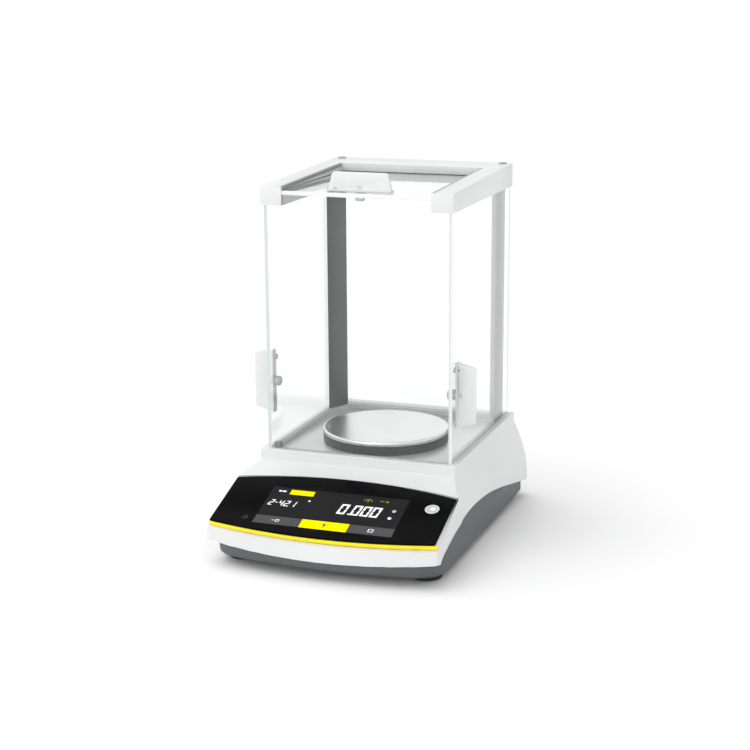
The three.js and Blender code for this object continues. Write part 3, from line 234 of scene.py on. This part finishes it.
def blank_material(name):
    """A new material with its nodes, the call that links them and its shader."""
    material = bpy.data.materials.new(name)
    material.use_nodes = True
    nodes = material.node_tree.nodes
    return material, nodes, material.node_tree.links.new, nodes["Principled BSDF"]


def moulded(name, colour, roughness, scale, depth, coat=0.0):
    """A moulded or painted finish that reads its tone and grain from the group."""
    material, nodes, link, shader = blank_material(name)
    texture = nodes.new("ShaderNodeGroup")
    texture.node_tree = grain
    texture.inputs["Colour"].default_value = (*colour, 1)
    texture.inputs["Roughness"].default_value = roughness
    texture.inputs["Grain"].default_value = scale
    texture.inputs["Depth"].default_value = depth
    shader.inputs["Coat Weight"].default_value = coat
    shader.inputs["Coat Roughness"].default_value = 0.12
    link(texture.outputs["Colour"], shader.inputs["Base Color"])
    link(texture.outputs["Roughness"], shader.inputs["Roughness"])
    link(texture.outputs["Normal"], shader.inputs["Normal"])
    return material


# ---- Lower tray ------------------------------------------------------------------------------
# A deep tray moulded in dark grey ABS with a fine spark grain. It carries the feet, the cell and
# the posts that the white shell is screwed to.
tray_plastic = moulded("tray_plastic", (0.1, 0.104, 0.108), 0.5, 1400, 0.5)
tray = merged_copy("lower_housing")
fitted("lower_tray", tray, tray_plastic, "base", "tray_plastic", "lower_housing", crease=30)

# ---- White shell -----------------------------------------------------------------------------
# The upper housing, moulded in white ABS: the platform of the draught shield, the sloping deck of
# the control panel and the flared skirt, with softly rounded outer edges.
white_plastic = moulded("white_plastic", (0.74, 0.745, 0.745), 0.36, 1500, 0.12, coat=0.12)
white_shell = merged_copy("upper_housing")
PLATFORM_TOP_Z = 83.7
PLATFORM_SIDE_X = 94.5
PLATFORM_FRONT_Y = (-48.8, -48.4)
PLATFORM_REAR_Y = 152.3
DECK_SIDE_Z = 50


def outer_edge(e):
    """True on the outer rim of the platform, down its front corners and along the deck's sides."""
    (xa, ya, za), (xb, yb, zb) = (tuple(c / MM for c in v.co) for v in e.verts)
    outside = min(abs(xa), abs(xb)) > PLATFORM_SIDE_X
    in_front = max(ya, yb) < PLATFORM_FRONT_Y[1]
    rim = min(za, zb) > PLATFORM_TOP_Z and (outside or in_front or min(ya, yb) > PLATFORM_REAR_Y)
    corner = outside and in_front and min(ya, yb) > PLATFORM_FRONT_Y[0] and za != zb
    side = outside and in_front and min(za, zb) > DECK_SIDE_Z
    return rim or corner or side


round_edges(white_shell, 1.1 * MM, 3, 20, outer_edge, clamp=False)
fitted("white_shell", white_shell, white_plastic, "base", "white_plastic", "upper_housing", crease=30)

# ---- Feet ------------------------------------------------------------------------------------
# Two levelling feet at the front, each a rubber pad under a knurled wheel on a threaded stud, and
# two fixed rubber feet pushed into the tray at the rear.
foot_rubber = moulded("foot_rubber", (0.022, 0.022, 0.023), 0.75, 1800, 0.6)
wheel_plastic = moulded("wheel_plastic", (0.03, 0.03, 0.032), 0.45, 1500, 0.3)


def turned(profile, centre, steps, closed=False):
    """A turned piece from its half section of (radius, height), in millimetres."""
    shape = bmesh.new()
    dots = [shape.verts.new(((centre[0] + r) * MM, centre[1] * MM, z * MM)) for r, z in profile]
    pairs = list(zip(dots, dots[1:])) + ([(dots[-1], dots[0])] if closed else [])
    lines = [shape.edges.new(pair) for pair in pairs]
    bmesh.ops.spin(
        shape, geom=dots + lines, cent=(centre[0] * MM, centre[1] * MM, 0), axis=(0, 0, 1),
        angle=2 * math.pi, steps=steps, use_merge=True, use_duplicate=False)
    bmesh.ops.remove_doubles(shape, verts=shape.verts, dist=1e-6)
    bmesh.ops.recalc_face_normals(shape, faces=shape.faces)
    return shape


def centre_of(node):
    """The middle of a node's box, in millimetres."""
    low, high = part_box(node)
    return [(a + b) / 2 / MM for a, b in zip(low, high)]


for side in ("right", "left"):
    x, y, _ = centre_of(f"foot_pad_{side}")
    pad = turned([
        (0, 0), (12.9, 0), (13.8, 0.6), (14, 1.4), (14, 2.4), (13.4, 3.2), (12.1, 3.4), (3.2, 3.4),
        (2.4, 4), (2.4, 11), (2, 11.4), (0, 11.4)], (x, y), 72)
    fitted(f"levelling_pad_{side}", pad, foot_rubber, f"foot_pad_{side}", "foot_rubber",
           f"foot_pad_{side}")
    wheel = merged_copy(f"foot_wheel_{side}")
    round_edges(wheel, 0.3 * MM, 2, 50)
    fitted(f"levelling_wheel_{side}", wheel, wheel_plastic, f"foot_wheel_{side}", "dark_plastic",
           f"foot_wheel_{side}")
    x, y, _ = centre_of(f"rear_foot_{side}")
    foot = turned([
        (0, 0), (9.6, 0), (10.6, 0.5), (11, 1.4), (11, 5.7), (10.6, 6.2), (3, 6.2), (3, 10.9),
        (2.4, 11.5), (0, 11.5)], (x, y), 64)
    fitted(f"rear_foot_pad_{side}", foot, foot_rubber, "base", "foot_rubber", f"rear_foot_{side}")

# ---- Cover of the under-bench hook -----------------------------------------------------------
# A round dark lid in the tray's floor, held by one small screw; weighing from below needs it off.
tray_trim = moulded("tray_trim", (0.05, 0.052, 0.055), 0.5, 1200, 0.4)
lid = merged_copy("hook_cover")
round_edges(lid, 0.3 * MM, 2, 50)
fitted("hook_lid", lid, tray_trim, "base", "tray_plastic", "hook_cover")

# ---- Screws ----------------------------------------------------------------------------------
# Zinc-plated screws with a hexagon socket, from below; a flat one holds the lid.


def brushed(name, colour, roughness, stretch, depth=0.1, metallic=1.0):
    """Metal with a fine grain, drawn out into lines along the axis with the smallest scale."""
    material, nodes, link, shader = blank_material(name)
    place = nodes.new("ShaderNodeTexCoord")
    along = nodes.new("ShaderNodeMapping")
    along.inputs["Scale"].default_value = stretch
    lines = nodes.new("ShaderNodeTexNoise")
    lines.inputs["Scale"].default_value = 1
    lines.inputs["Detail"].default_value = 3
    tone = nodes.new("ShaderNodeMapRange")
    tone.inputs["To Min"].default_value = roughness - 0.06
    tone.inputs["To Max"].default_value = roughness + 0.06
    shade = nodes.new("ShaderNodeMix")
    shade.data_type = "RGBA"
    shade.inputs["A"].default_value = (*(c * 0.93 for c in colour), 1)
    shade.inputs["B"].default_value = (*colour, 1)
    bump = nodes.new("ShaderNodeBump")
    bump.inputs["Distance"].default_value = 0.00003
    bump.inputs["Strength"].default_value = depth
    shader.inputs["Metallic"].default_value = metallic
    link(place.outputs["Object"], along.inputs["Vector"])
    link(along.outputs["Vector"], lines.inputs["Vector"])
    link(lines.outputs["Fac"], tone.inputs["Value"])
    link(lines.outputs["Fac"], shade.inputs["Factor"])
    link(lines.outputs["Fac"], bump.inputs["Height"])
    link(shade.outputs["Result"], shader.inputs["Base Color"])
    link(tone.outputs["Result"], shader.inputs["Roughness"])
    link(bump.outputs["Normal"], shader.inputs["Normal"])
    return material


screw_steel = brushed("screw_steel", (0.56, 0.56, 0.57), 0.32, (700, 700, 60))
screw_names = [f"cell_screw_{i}" for i in range(1, 5)]
screw_names += [
    f"{place}_housing_screw_{side}" for place in ("front", "rear") for side in ("right", "left")]
screw_names += ["column_screw_right", "column_screw_left", "hook_cover_screw"]
for node in screw_names:
    screw = merged_copy(node)
    round_edges(screw, 0.2 * MM, 2, 50)
    fitted(f"{node}_piece", screw, screw_steel, "base", "screw_steel", node)

# ---- Weigh cell ------------------------------------------------------------------------------
# A block of milled aluminium with its guide and lever cut out by slots, the receptor that carries
# the pan, and the pot magnet with the coil that holds the load.
milled_aluminium = brushed("milled_aluminium", (0.68, 0.69, 0.7), 0.34, (500, 40, 500))
magnet_plating = brushed("magnet_plating", (0.5, 0.5, 0.5), 0.3, (200, 200, 200))
copper_winding = brushed("copper_winding", (0.74, 0.33, 0.15), 0.3, (20, 20, 2600), 0.5)
for node, material, slot, body, width in (
        ("weigh_cell", milled_aluminium, "cast_aluminium", "base", 0.4),
        ("load_receptor", milled_aluminium, "cast_aluminium", "load_receptor", 0.4),
        ("pan_support", milled_aluminium, "cast_aluminium", "pan_support", 0.5),
        ("magnet_pot", magnet_plating, "magnet_iron", "base", 0.4),
        ("magnet_coil", copper_winding, "coil_copper", "base", 0.3)):
    part = merged_copy(node)
    round_edges(part, width * MM, 2, 40)
    fitted(f"{node}_piece", part, material, body, slot, node)

# ---- Circuit board and sockets ---------------------------------------------------------------
# The main board with its components, the ribbon to the display, and the power, serial and USB
# sockets in the rear wall.
solder_mask = moulded("solder_mask", (0.018, 0.13, 0.055), 0.35, 300, 0.2, coat=0.3)
ribbon_film = moulded("ribbon_film", (0.5, 0.5, 0.5), 0.4, 600, 0.1)
socket_plastic = moulded("socket_plastic", (0.025, 0.025, 0.027), 0.4, 900, 0.3)
tinned_steel = brushed("tinned_steel", (0.62, 0.62, 0.62), 0.3, (600, 600, 100))
for node, material, slot, width in (
        ("main_circuit_board", solder_mask, "circuit_board", 0.2),
        ("display_ribbon", ribbon_film, "grey_plastic", 0.1),
        ("power_socket", socket_plastic, "dark_plastic", 0.2),
        ("data_socket", tinned_steel, "socket_metal", 0.25),
        ("usb_socket", tinned_steel, "socket_metal", 0.2)):
    part = merged_copy(node)
    round_edges(part, width * MM, 2, 40)
    fitted(f"{node}_piece", part, material, "base", slot, node)

# ---- Control panel ---------------------------------------------------------------------------
# A black-backed sheet of toughened glass bonded on the deck, arched at its upper and lower edges,
# with a yellow moulding let in below it.
DECK_REAR_Y = -48.6
DECK_REAR_Z = 73.2
DECK_SLOPE = 18.4
PANEL_HALF = 105.1
deck = Matrix.Translation((0, DECK_REAR_Y * MM, DECK_REAR_Z * MM))
deck = deck @ Matrix.Rotation(math.radians(DECK_SLOPE), 4, "X")


def arched_sheet(low, low_arch, high, high_arch, half, top, thick, columns=72):
    """A sheet on the deck between two arched edges, its top at that height over the deck."""
    shape = bmesh.new()
    bmesh.ops.create_grid(shape, x_segments=columns, y_segments=1, size=0.5)
    for v in shape.verts:
        share, x = v.co.y + 0.5, v.co.x * 2 * half
        bow = 1 - (x / PANEL_HALF) ** 2
        front, rear = low - low_arch * bow, high + high_arch * bow
        v.co = Vector((x, front + (rear - front) * share, top))
    raised = bmesh.ops.extrude_face_region(shape, geom=shape.faces[:])
    moved = [v for v in raised["geom"] if isinstance(v, bmesh.types.BMVert)]
    bmesh.ops.translate(shape, verts=moved, vec=(0, 0, -thick))
    bmesh.ops.recalc_face_normals(shape, faces=shape.faces)
    bmesh.ops.transform(shape, matrix=Matrix.Scale(MM, 4), verts=shape.verts)
    bmesh.ops.transform(shape, matrix=deck, verts=shape.verts)
    return shape


PANEL_SPECULAR = 0.02
panel_black = moulded("panel_black", (0.0035, 0.0035, 0.004), 0.16, 40, 0.0)
panel_shader = panel_black.node_tree.nodes["Principled BSDF"]
panel_shader.inputs["Specular IOR Level"].default_value = PANEL_SPECULAR
sheet = arched_sheet(-96.85, 9, -30.95, 12.3, PANEL_HALF, -0.05, 2)
round_edges(sheet, 0.35 * MM, 3, 50)
fitted("touch_panel", sheet, panel_black, "base", "panel_glass", "panel_glass")

accent_yellow = moulded("accent_yellow", (1.0, 0.84, 0.0), 0.3, 900, 0.1)
strip = merged_copy("accent_strip")
round_edges(strip, 0.25 * MM, 2, 50)
fitted("yellow_strip", strip, accent_yellow, "base", "accent_yellow", "accent_strip", crease=40)

module = merged_copy("display_module")
round_edges(module, 0.5 * MM, 2, 50)
fitted("display_unit", module, socket_plastic, "base", "dark_plastic", "display_module")

# ---- Screen ----------------------------------------------------------------------------------
# What the lit screen shows through the panel: a grey field, a row of keys along its lower edge,
# the weight in large figures, and small marks. Each is a film about a hundredth of a millimetre
# thick, and the levels keep them in order over the panel.


def lit(name, colour, glow):
    """A printed or lit film under the panel's gloss, with a low glow. On the screen's films that glow is
    their backlight; on the level's bubble it is painted light.
    """
    material, nodes, link, shader = blank_material(name)
    place = nodes.new("ShaderNodeTexCoord")
    dots = nodes.new("ShaderNodeTexNoise")
    dots.inputs["Scale"].default_value = 60
    tone = nodes.new("ShaderNodeMix")
    tone.data_type = "RGBA"
    tone.inputs["A"].default_value = (*(c * 0.9 for c in colour), 1)
    tone.inputs["B"].default_value = (*colour, 1)
    shader.inputs["Roughness"].default_value = 0.14
    shader.inputs["Specular IOR Level"].default_value = PANEL_SPECULAR
    shader.inputs["Emission Color"].default_value = (*colour, 1)
    shader.inputs["Emission Strength"].default_value = glow
    link(place.outputs["Object"], dots.inputs["Vector"])
    link(dots.outputs["Fac"], tone.inputs["Factor"])
    link(tone.outputs["Result"], shader.inputs["Base Color"])
    return material


screen_grey = lit("screen_grey", (0.016, 0.016, 0.017), 0.3)
key_grey = lit("key_grey", (0.075, 0.075, 0.077), 0.2)
screen_yellow = lit("screen_yellow", (1.0, 0.82, 0.0), 0.25)
screen_white = lit("screen_white", (0.8, 0.8, 0.8), 0.5)
screen_olive = lit("screen_olive", (0.3, 0.25, 0.01), 0.2)


SCREEN_HALF = 65
SCREEN_FRONT_V = -94.4
SCREEN_REAR_V = -39.3
KEYS_REAR_V = -82.7
FILM_THICK = 0.012
FIELD_LEVEL = -0.045
KEY_LEVEL = -0.03
LIT_KEY_LEVEL = -0.028
POWER_LEVEL = -0.02
SYMBOL_LEVEL = -0.01
FIGURE_LEVEL = 0.0


def film(shapes, level):
    """Films on the deck from flat outlines of (x, v) points, at one height over the panel."""
    made = bmesh.new()
    for outline in shapes:
        made.faces.new([made.verts.new((x, v, level)) for x, v in outline])
    grown = bmesh.ops.extrude_face_region(made, geom=made.faces[:])
    moved = [v for v in grown["geom"] if isinstance(v, bmesh.types.BMVert)]
    bmesh.ops.translate(made, verts=moved, vec=(0, 0, FILM_THICK))
    bmesh.ops.recalc_face_normals(made, faces=made.faces)
    bmesh.ops.transform(made, matrix=deck @ Matrix.Scale(MM, 4), verts=made.verts)
    return made


def bar(x0, v0, x1, v1):
    """The outline of a rectangle between two corners."""
    return [(x0, v0), (x1, v0), (x1, v1), (x0, v1)]


def disc(x, v, r, count=24):
    """The outline of a round spot."""
    return [(x + r * math.cos(2 * math.pi * i / count), v + r * math.sin(2 * math.pi * i / count))
            for i in range(count)]


def on_panel(name, shapes, level, material):
    """One film with all its outlines, over the panel."""
    fitted(name, film(shapes, level), material, "base", "panel_glass")


on_panel("screen_field", [
    bar(-SCREEN_HALF, SCREEN_FRONT_V, SCREEN_HALF, SCREEN_REAR_V)], FIELD_LEVEL, screen_grey)
on_panel("screen_keys", [
    bar(-SCREEN_HALF, SCREEN_FRONT_V, -21.8, KEYS_REAR_V),
    bar(23.7, SCREEN_FRONT_V, SCREEN_HALF, KEYS_REAR_V)], KEY_LEVEL, key_grey)
on_panel("screen_key_lit", [
    bar(-21.2, SCREEN_FRONT_V, 23.1, KEYS_REAR_V), bar(-46.7, -48.9, -24, -42)],
    LIT_KEY_LEVEL, screen_yellow)

# The lit strokes of each figure, lettered clockwise from the top with the middle one last.
STROKES = {"0": "abcdef", "1": "bc", "2": "abdeg", "4": "bcfg"}


def figure(digit, x, v, wide, high, stroke, lean=0.12):
    """One figure of mitred strokes, its lower left corner at (x, v)."""
    w, h, half, t = wide, high, high / 2, stroke
    parts = {
        "a": [(0, h), (t, h - t), (w - t, h - t), (w, h)],
        "b": [(w, h), (w - t, h - t), (w - t, half + t / 2), (w, half)],
        "c": [(w, half), (w - t, half - t / 2), (w - t, t), (w, 0)],
        "d": [(0, 0), (w, 0), (w - t, t), (t, t)],
        "e": [(0, 0), (t, t), (t, half - t / 2), (0, half)],
        "f": [(0, half), (t, half + t / 2), (t, h - t), (0, h)],
        "g": [(t / 3, half), (t, half - t / 2), (w - t, half - t / 2), (w - t / 3, half),
              (w - t, half + t / 2), (t, half + t / 2)]}
    return [[(x + a + lean * b, v + b) for a, b in parts[k]] for k in STROKES[digit]]


def arc(x, v, inner, outer, start, end, count=20):
    """A band of a ring between two angles in degrees."""
    turns = [math.radians(start + (end - start) * i / count) for i in range(count + 1)]
    band = [(x + outer * math.cos(a), v + outer * math.sin(a)) for a in turns]
    return band + [(x + inner * math.cos(a), v + inner * math.sin(a)) for a in reversed(turns)]


weight = [bar(15.7, -69.6, 17.5, -67.9)]
for x, digit in ((5.2, "0"), (17.6, "0"), (26.6, "0"), (35.6, "0")):
    weight += figure(digit, x, -69.6, 7.6, 14.6, 2.0)
on_panel("weight_figures", weight, FIGURE_LEVEL, screen_white)
tare = [bar(-54.9, -63, -52.9, -62), bar(-42.6, -67, -41.6, -66)]
for x, digit in ((-61.5, "2"), (-52.2, "4"), (-46.6, "2"), (-40.4, "1")):
    tare += figure(digit, x, -67, 4.2, 8.2, 1.0, 0.2)
on_panel("tare_figures", tare, FIGURE_LEVEL, screen_white)
on_panel("screen_symbols", [
    bar(-58, -46.4, -55.2, -44.4), bar(-54.4, -46.4, -51, -44.4),
    arc(-43.2, -88.4, 1.3, 1.9, 0, 350), bar(-48.6, -88.7, -45.8, -88.1),
    [(-26.2, -56.8), (-23.2, -56.8), (-24.7, -54.4)],
    bar(41.8, -90.6, 42.4, -86.4), bar(46, -90.6, 46.6, -86.4), bar(42.4, -87, 46, -86.4),
    bar(42.4, -90.6, 46, -90), arc(55.9, -57.9, 0.9, 1.6, 0, 350), disc(54.9, -68.4, 1.7)],
    SYMBOL_LEVEL, screen_white)
on_panel("screen_status", [
    arc(28, -48.6, 3.6, 4.6, 20, 160), bar(27.4, -48.6, 28.6, -45.6), bar(38.7, -46, 42.5, -45),
    bar(44.2, -46.6, 47, -44.6)], SYMBOL_LEVEL, screen_olive)
on_panel("screen_key_mark", [
    [(0.9, -85.4), (-1.6, -88.2), (3.4, -88.2)], bar(0.3, -91.2, 1.5, -88.2)],
    FIGURE_LEVEL, key_grey)
on_panel("power_symbol", [
    arc(-74, -88.4, 1.7, 2.4, 120, 420), bar(-74.3, -88.2, -73.7, -85.4)], POWER_LEVEL, key_grey)

# ---- Level -----------------------------------------------------------------------------------
# A round bubble level under a hole in the panel's back print: a pale cup, a clear vial with a
# ring, and the bubble.
LEVEL_X = 88.1
LEVEL_V = -49
level_place = deck @ Matrix.Translation((LEVEL_X * MM, LEVEL_V * MM, 0))
level_cup_white = moulded("level_cup_white", (0.75, 0.76, 0.75), 0.4, 900, 0.1)
cup = merged_copy("level_cup")
round_edges(cup, 0.25 * MM, 2, 50)
fitted("level_cup_piece", cup, level_cup_white, "base", "grey_plastic", "level_cup")
level_liquid = moulded("level_liquid", (0.55, 0.57, 0.54), 0.1, 60, 0.0, coat=0.8)
vial = merged_copy("level_vial")
round_edges(vial, 0.6 * MM, 3, 50)
fitted("level_vial_piece", vial, level_liquid, "base", "vial_glass", "level_vial")
ring = turned([(5.3, -0.04), (6.4, -0.04), (6.4, 0.02), (5.3, 0.02)], (0, 0), 64, closed=True)
bmesh.ops.transform(ring, matrix=level_place, verts=ring.verts)
fitted("level_ring", ring, level_cup_white, "base", "grey_plastic")
window = turned([(0, -0.045), (5.2, -0.045), (5.2, -0.02), (0, -0.02)], (0, 0), 64)
bmesh.ops.transform(window, matrix=level_place, verts=window.verts)
fitted("level_window", window, level_liquid, "base", "vial_glass")
bubble = turned([(0, -0.018), (2.1, -0.018), (2.3, -0.01), (2.1, 0.0), (0, 0.0)], (0.6, 0.5), 40)
bmesh.ops.transform(bubble, matrix=level_place, verts=bubble.verts)
# The bubble glows faintly: painted light for the highlight it catches, since a bubble gives no light of
# its own.
bubble_painted_glow = lit("bubble_painted_glow", (0.9, 0.9, 0.88), 0.1)
fitted("level_bubble", bubble, bubble_painted_glow, "base", "vial_glass")

# ---- Chamber floor ---------------------------------------------------------------------------
# A plate of satin stainless steel laid in the sunk floor of the chamber, with a small clip for
# the front glass at its left front corner.
satin_steel = brushed("satin_steel", (0.93, 0.93, 0.93), 0.34, (40, 1200, 40), 0.12, metallic=0.5)
plate = merged_copy("chamber_floor")
round_edges(plate, 0.3 * MM, 2, 50)
fitted("chamber_plate", plate, satin_steel, "base", "satin_steel", "chamber_floor")
clip_grey = moulded("clip_grey", (0.3, 0.31, 0.32), 0.45, 900, 0.2)
clip = merged_copy("front_glass_clip")
round_edges(clip, 0.4 * MM, 2, 50)
fitted("glass_clip", clip, clip_grey, "base", "grey_plastic", "front_glass_clip")

# ---- Pan -------------------------------------------------------------------------------------
# The pan is spun from stainless steel with a rolled rim and polished. A dark ring stands round
# its support and screens it from draughts.
PAN_Y = 36.0
ring_dark = moulded("ring_dark", (0.026, 0.026, 0.027), 0.4, 1200, 0.3)
screen_ring = turned([
    (57.5, 79.5), (57.7, 79.3), (59.5, 79.3), (59.7, 79.5), (59.7, 86.2), (59.1, 86.8), (58.1, 86.8),
    (57.5, 86.2)], (0, PAN_Y), 128, closed=True)
fitted("draught_ring", screen_ring, ring_dark, "base", "tray_plastic", "pan_skirt_ring")


def spun_steel(name, colour, roughness, x, y):
    """Polished metal with fine rings about a centre."""
    material, nodes, link, shader = blank_material(name)
    place = nodes.new("ShaderNodeTexCoord")
    centre = nodes.new("ShaderNodeMapping")
    centre.inputs["Location"].default_value = (-x * MM, -y * MM, 0)
    flat = nodes.new("ShaderNodeVectorMath")
    flat.operation = "MULTIPLY"
    flat.inputs[1].default_value = (1, 1, 0)
    out = nodes.new("ShaderNodeVectorMath")
    out.operation = "LENGTH"
    rings = nodes.new("ShaderNodeTexNoise")
    rings.noise_dimensions = "1D"
    rings.inputs["Scale"].default_value = 2600
    rings.inputs["Detail"].default_value = 2
    tone = nodes.new("ShaderNodeMapRange")
    tone.inputs["To Min"].default_value = roughness - 0.05
    tone.inputs["To Max"].default_value = roughness + 0.07
    shade = nodes.new("ShaderNodeMix")
    shade.data_type = "RGBA"
    shade.inputs["A"].default_value = (*(c * 0.95 for c in colour), 1)
    shade.inputs["B"].default_value = (*colour, 1)
    bump = nodes.new("ShaderNodeBump")
    bump.inputs["Distance"].default_value = 0.00001
    bump.inputs["Strength"].default_value = 0.12
    shader.inputs["Metallic"].default_value = 1
    link(place.outputs["Object"], centre.inputs["Vector"])
    link(centre.outputs["Vector"], flat.inputs[0])
    link(flat.outputs["Vector"], out.inputs[0])
    link(out.outputs["Value"], rings.inputs["W"])
    link(rings.outputs["Fac"], tone.inputs["Value"])
    link(rings.outputs["Fac"], shade.inputs["Factor"])
    link(rings.outputs["Fac"], bump.inputs["Height"])
    link(shade.outputs["Result"], shader.inputs["Base Color"])
    link(tone.outputs["Result"], shader.inputs["Roughness"])
    link(bump.outputs["Normal"], shader.inputs["Normal"])
    return material


pan_steel = spun_steel("pan_steel", (0.86, 0.86, 0.86), 0.24, 0, PAN_Y)
pan = turned([
    (0, 90.6), (57.4, 90.6), (57.9, 90.3), (58.2, 88.2), (58.6, 87.7), (59.2, 87.6), (59.8, 87.9),
    (60, 88.5), (60, 90.7), (59.7, 91.4), (59, 91.75), (58.2, 91.8), (57, 91.55), (55.6, 91.45),
    (0, 91.45)], (0, PAN_Y), 144)
fitted("pan_dish", pan, pan_steel, "weighing_pan", "polished_steel", "weighing_pan")

# ---- Columns ---------------------------------------------------------------------------------
# Three-sided extrusions, anodised in grey, screwed up through the platform at the rear corners.
column_grey = brushed("column_grey", (0.12, 0.12, 0.123), 0.3, (420, 420, 3), 0.05, metallic=0.3)
for side in ("right", "left"):
    post = merged_copy(f"column_{side}")
    round_edges(post, 0.8 * MM, 3, 50)
    fitted(f"corner_column_{side}", post, column_grey, "base", "column_aluminium", f"column_{side}")

# ---- Top frame -------------------------------------------------------------------------------
# One white moulding: two rails and a bar across the rear, grooved for the glass, with a grey strip along
# each rail that is painted shade for the rail's shaded inner wall, and a cap over each rear screw.
top_shape = merged_copy("top_frame")
round_edges(top_shape, 0.5 * MM, 2, 50)
fitted("top_rails", top_shape, white_plastic, "base", "white_plastic", "top_frame", crease=30)
# This grey is painted shade on the rail strips, standing for the shaded inner wall of each rail above
# the glass. On the screw caps it is their own colour.
shade_strip_and_cap_grey = moulded("shade_strip_and_cap_grey", (0.35, 0.36, 0.36), 0.5, 900, 0.2)
for side in ("right", "left"):
    shade_strip = merged_copy(f"rail_strip_{side}")
    round_edges(shade_strip, 0.3 * MM, 2, 50)
    fitted(f"rail_shade_strip_{side}", shade_strip, shade_strip_and_cap_grey, "base", "grey_plastic", f"rail_strip_{side}")
    x, y, _ = centre_of(f"frame_screw_cap_{side}")
    low, high = (v[2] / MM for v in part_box(f"frame_screw_cap_{side}"))
    cap = turned([
        (0, low), (4, low), (4, high - 0.5), (3.6, high - 0.1), (3, high), (1.2, high), (1, high - 0.4),
        (0, high - 0.4)], (x, y), 48)
    fitted(f"screw_cap_{side}", cap, shade_strip_and_cap_grey, "base", "grey_plastic", f"frame_screw_cap_{side}")

# ---- Glass -----------------------------------------------------------------------------------
# Five panes of 3 mm float glass with pale ground edges that carry a faint painted glow. The front
# and rear ones are fixed in grooves, and the side and top ones slide.


def pane_glass(name, tint):
    """Clear glass with a faint haze."""
    material, nodes, link, shader = blank_material(name)
    place = nodes.new("ShaderNodeTexCoord")
    haze = nodes.new("ShaderNodeTexNoise")
    haze.inputs["Scale"].default_value = 14
    tone = nodes.new("ShaderNodeMapRange")
    tone.inputs["To Min"].default_value = 0.0
    tone.inputs["To Max"].default_value = 0.03
    shader.inputs["Base Color"].default_value = (*tint, 1)
    shader.inputs["Transmission Weight"].default_value = 1
    shader.inputs["IOR"].default_value = 1.45
    link(place.outputs["Object"], haze.inputs["Vector"])
    link(haze.outputs["Fac"], tone.inputs["Value"])
    link(tone.outputs["Result"], shader.inputs["Roughness"])
    return material


float_glass = pane_glass("float_glass", (0.99, 1.0, 0.997))
cut_edge_painted_glow = moulded("cut_edge_painted_glow", (0.5, 0.54, 0.53), 0.3, 500, 0.1)
edge_shader = cut_edge_painted_glow.node_tree.nodes["Principled BSDF"]
# The edges' grey-green is their own colour. The glow added here is painted light for the light the
# ground edges catch.
edge_shader.inputs["Emission Color"].default_value = (0.84, 0.92, 0.9, 1)
edge_shader.inputs["Emission Strength"].default_value = 0.42
FACE_TURN = 0.9
for node, body in (
        ("front_glass", "base"), ("rear_glass", "base"), ("side_door_glass_right", "right_door"),
        ("side_door_glass_left", "left_door"), ("top_door_glass", "top_door")):
    pane = merged_copy(node)
    round_edges(pane, 0.4 * MM, 1, 50)
    low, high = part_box(node)
    thin = min(range(3), key=lambda axis: high[axis] - low[axis])
    for f in pane.faces:
        f.material_index = 0 if abs(f.normal[thin]) > FACE_TURN else 1
    pane_piece = fitted(f"{node}_pane", pane, float_glass, body, "clear_glass", node)
    pane_piece.data.materials.append(cut_edge_painted_glow)

# ---- Door grips ------------------------------------------------------------------------------
# Each door slides in its grooves by a white grip outside, held through the glass by a grey knob
# and a pin inside.
grip_white = moulded("grip_white", (0.78, 0.785, 0.785), 0.38, 1500, 0.12, coat=0.1)
knob_grey = moulded("knob_grey", (0.7, 0.71, 0.72), 0.42, 1200, 0.2)
for side, body in (("right", "right_door"), ("left", "left_door")):
    grip = merged_copy(f"side_door_grip_{side}")
    round_edges(grip, 0.6 * MM, 3, 50)
    fitted(f"door_grip_{side}", grip, grip_white, body, "white_plastic", f"side_door_grip_{side}")
    for part, width in (("knob", 0.5), ("pin", 0.3)):
        inner = merged_copy(f"side_grip_{part}_{side}")
        round_edges(inner, width * MM, 2, 50)
        fitted(f"door_{part}_{side}", inner, knob_grey, body, "grey_plastic", f"side_grip_{part}_{side}")
grip = merged_copy("top_door_grip")
round_edges(grip, 0.6 * MM, 3, 50)
fitted("lid_grip", grip, grip_white, "top_door", "white_plastic", "top_door_grip")
for part, width in (("knob", 0.5), ("pin", 0.3)):
    inner = merged_copy(f"top_grip_{part}")
    round_edges(inner, width * MM, 2, 50)
    fitted(f"lid_{part}", inner, knob_grey, "top_door", "grey_plastic", f"top_grip_{part}")
